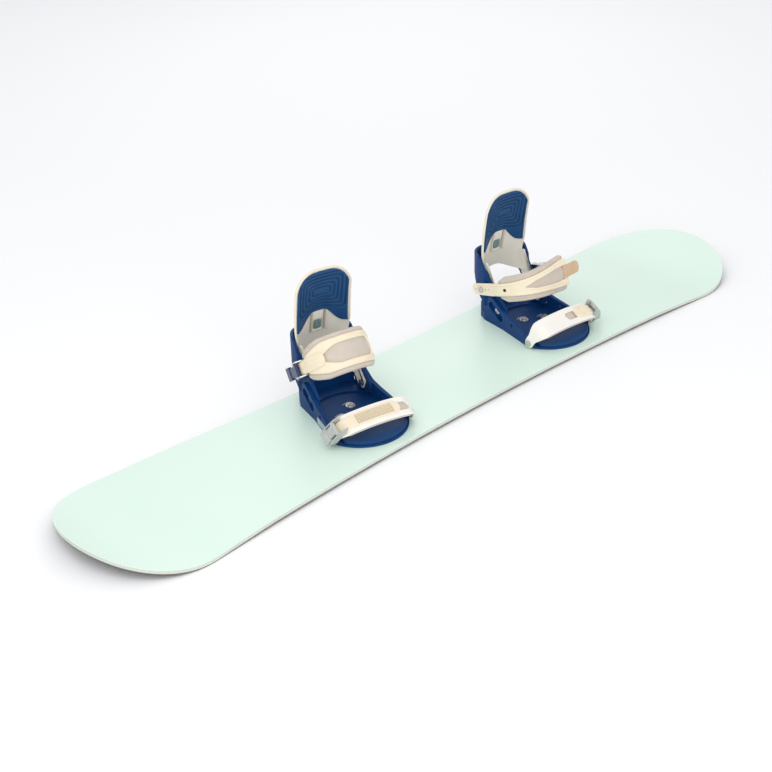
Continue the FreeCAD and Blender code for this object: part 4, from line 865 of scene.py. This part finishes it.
LADDER_FROM = {"front": 42.0, "rear": -20.0}
for side in MIRROR:
    ends = run_at(toe_path, "s", -9.4), run_at(toe_path, "s", -9.4, True)
    run = np.linspace(*ends, 340)
    x, s = at(toe_path, run, "x"), at(toe_path, run, "s")
    half = np.minimum(*(rounded_end(run, toe_half(s), end, 9.4) for end in ends))
    low = LADDER_FROM[side] - 6.0
    gap = short_window(x, low, low + 27.0, 8.0) * (s > 20)
    points, faces, cover = strap_plate(side, TOE, toe_path, run, half, gap, toe_face, flush_back, 13)
    make_piece(side + "_toe_band", points, faces, finishes["white_plastic"], side + "_toe_strap",
               "white_plastic", cover, [side + "_toe_frame"])
    ends = run_at(toe_path, "s", 18.5), run_at(toe_path, "s", 18.5, True)
    run = np.linspace(*ends, 220)
    x, s = at(toe_path, run, "x"), at(toe_path, run, "s")
    half = smooth_steps(s, [18.0, 30.0], [11.0, 19.8])
    gap = short_window(x, low, low + 27.0, 8.0)
    points, faces, cover = padding(side, TOE, toe_path, run, half, toe_half(s), gap, 4.0, 21)
    pad = make_piece(side + "_toe_padding", points, faces, finishes["greige_padding"],
                     side + "_toe_strap", "greige_padding", cover, [side + "_toe_pad"], 60)

# %% [markdown]
# ## Ladders
# A ladder is the toothed strip that a ratchet pulls.  Its teeth are 3.6 mm apart and are cut into a
# face that stays plain along both edges.  The free end is round, with a fine knurl for the thumb.

# %% Ladders
TOOTH_PITCH, LADDER_THICK = 3.6, 3.0


def ladder_face(toothed_from, toothed_to, half, base):
    """Base height plus thickness, less a saw-tooth notch, and a knurl on the end before the teeth."""
    def face(edge, t, run):
        """Height over the path at a distance from the edge, across t and along run."""
        corner = 0.8 * np.clip(1 - edge / 1.2, 0.0, 1.0) ** 2
        phase = (run - toothed_from) % TOOTH_PITCH / TOOTH_PITCH
        notch = ease(phase, 0.0, 0.12) * (1 - ease(phase, 0.55, 1.0))
        inside = 1 - ease(np.abs(t), half - 2.6, half - 1.8)
        part = ease(run, toothed_from - 0.2, toothed_from) * (1 - ease(run, toothed_to, toothed_to + 0.2))
        knurl = 0.35 * np.sin(run * 2 * np.pi / 2.4) * np.sin(t * 2 * np.pi / 2.4)
        rest = (1 - part) * inside * ease(edge, 1.4, 2.6)
        return base + LADDER_THICK - corner - 1.6 * notch * inside * part + knurl * rest
    return face


def tooth_shade(cover, toothed_from, toothed_to, half):
    """Painted shade, 0.55 in the bottom of a notch and 0 elsewhere, from a vertex's run and t."""
    run, t = cover.T
    phase = (run - toothed_from) % TOOTH_PITCH / TOOTH_PITCH
    notch = ease(phase, 0.0, 0.2) * (1 - ease(phase, 0.45, 0.75))
    return 0.55 * notch * (np.abs(t) < half - 2.0) * (run > toothed_from) * (run < toothed_to)


def ladder(side, strap, path, start, stop, half, base, toothed_from, toothed_to):
    """A strip of constant width with a round free end, a point every 0.4 mm along it."""
    run = np.linspace(start, stop, int((stop - start) / 0.4))
    width = rounded_end(run, np.full_like(run, half), start, half * 0.8)
    return strap_plate(side, strap, path, run, width, np.zeros_like(run),
                       ladder_face(toothed_from, toothed_to, half, base),
                       lambda edge, t, run_now: base + 0.02 + 0 * t, 25)


HINGE, RING = np.array([61.3, 34.0]), np.array([0.0, CREST - ANKLE_IN])


def arc(centre, radius, start, stop):
    """Points at radius from centre, for angles from start to stop in degrees."""
    turn = np.radians(np.linspace(start, stop, int(radius * math.radians(abs(stop - start)) / 0.5)))
    return centre + radius * np.stack([np.cos(turn), np.sin(turn)], 1)


link = RING - HINGE
meet = math.degrees(math.atan2(link[1], link[0]))
reach = float(np.hypot(*link)) + 61.34
ladder_stop = 180.0 + math.degrees(math.asin((HINGE[1] - 13.0) / reach))
ladder_line = [arc(RING, 61.34, 132.0, meet), arc(HINGE, reach, meet, ladder_stop)]
front_ladder_path = measured(np.vstack(ladder_line))
length = front_ladder_path["run"][-1]
points, faces, cover = ladder("front", ANKLE, front_ladder_path, 0.0, length, 11.5, 0.0, 40.0, length - 3)
make_piece("front_ankle_toothed_strip", points, faces, finishes["cream_plastic"], "front_ankle_strap",
           "cream_plastic", cover, ["front_ankle_ladder"],
           painted_recess_shade=tooth_shade(cover, 40.0, length - 3, 11.5))
path = ankle_path["rear"]
stop = run_at(path, "x", -108.0, True)
start = run_at(path, "x", -62.0, True)
run = np.linspace(start, stop, 110)
width = rounded_end(run, np.full_like(run, 11.5), stop, 8.5)
points, faces, cover = strap_plate("rear", ANKLE, path, run, width, np.zeros_like(run),
                                   ladder_face(stop - 26, stop - 8, 11.5, 0.0),
                                   lambda edge, t, run_now: 0.02 + 0 * t, 25)
make_piece("rear_ankle_tongue", points, faces, darker_cream_tongue, "rear_ankle_strap", "cream_plastic", cover,
           ["rear_ankle_ladder"])
for side in MIRROR:
    past_start = (toe_path["x"] <= LADDER_FROM[side]) & (toe_path["s"] > 20)
    start = toe_path["run"][np.nonzero(past_start)[0][0]]
    stop = run_at(toe_path, "s", 11.0, True)
    toothed = start + 13.0, (start + 13.0 + 19 * TOOTH_PITCH if side == "front" else start + 24.0)
    points, faces, cover = ladder(side, TOE, toe_path, start, stop, 11.0, 3.0, *toothed)
    make_piece(side + "_toe_toothed_strip", points, faces, finishes["cream_plastic"],
               side + "_toe_strap", "cream_plastic", cover, [side + "_toe_ladder"],
               painted_recess_shade=tooth_shade(cover, *toothed, 11.0))

# %% [markdown]
# ## A plain striped patch
# The outer rail carries a printed patch beside the toe strap's bolt.  It is drawn as a thin curved
# plate just proud of the rail, with plain stripes.

# %% Patch
def patch(side):
    """x follows the rail, which narrows from 73.07 by 12.57 over 86 mm of y."""
    y, z = np.meshgrid(np.linspace(-46.0, 12.0, 59), np.linspace(0.0, 1.0, 14), indexing="ij")
    low, high = 2.5, 14.5
    z = low + z * (high - low)
    x = -(73.07 - 12.57 * (y + 58.0) / 86.0)
    outer, inner = on_foot(side, x - 0.4, y, z), on_foot(side, x + 0.6, y, z)
    cover = np.stack([(y + 0.6 * z).ravel(), z.ravel()], 1)
    return *shell(outer, inner, np.arange(y.size).reshape(y.shape)), np.vstack([cover, cover])


points, faces, cover = patch("front")
make_piece("front_rail_patch", points, faces, striped_print, "board", "navy_plastic", cover)

# %% [markdown]
# ## Small marks
# The rear strap's arm carries a dark plug in its size hole, and the disc has short generic tick marks
# beside its screws, which a rider lines up when setting the stance.

# %% Plug and tick marks
def plug(side, strap, path, run, radius, height):
    """Rings that grow from a point to the radius and then go down into the plate."""
    turn = np.linspace(0.0, 2 * np.pi, 33)[None, :-1]
    size = radius * np.array([0.02, 0.6, 0.92, 1.0, 1.0, 0.02])[:, None]
    level = height + np.array([0.0, -0.03, -0.2, -0.5, -1.6, -1.6])[:, None]
    points = wrap(side, strap, path, run + size * np.cos(turn), level + 0 * turn, size * np.sin(turn))
    index = np.arange(6 * 32).reshape(6, 32)
    return points, quads(np.hstack([index, index[:, :1]]))


def ticks(side):
    """Bars 0.9 mm wide and 3 mm long, in a row 12 mm in front of each screw."""
    parts = []
    for x, y in ((11.55, 20.0), (-23.09, 0.0), (11.55, -20.0)):
        for step in (-2, -1, 0, 1, 2):
            across = MIRROR[side] * x + 3.0 * step + np.array([[-0.45, 0.45], [-0.45, 0.45]])
            along = y + 12.0 + np.array([[-1.5, -1.5], [1.5, 1.5]]) * (1.0 if step else 1.4)
            skins = [mounts[side + "_foot"] + MM * np.stack(
                [across.ravel(), along.ravel(), np.full(4, level - DISC_HEIGHT)], 1)
                for level in (7.12, 6.9)]
            parts.append(shell(*skins, np.arange(4).reshape(2, 2)))
    return joined(*parts)


path = ankle_path["rear"]
make_piece("rear_ankle_plug", *plug("rear", ANKLE, path, run_at(path, "s", 34.2) + 29.0, 3.3, 3.75),
           finishes["base_sheet"], "rear_ankle_strap", "base_sheet")
for side in MIRROR:
    make_piece(side + "_disc_ticks", *ticks(side), finishes["white_plastic"], "board", "white_plastic")
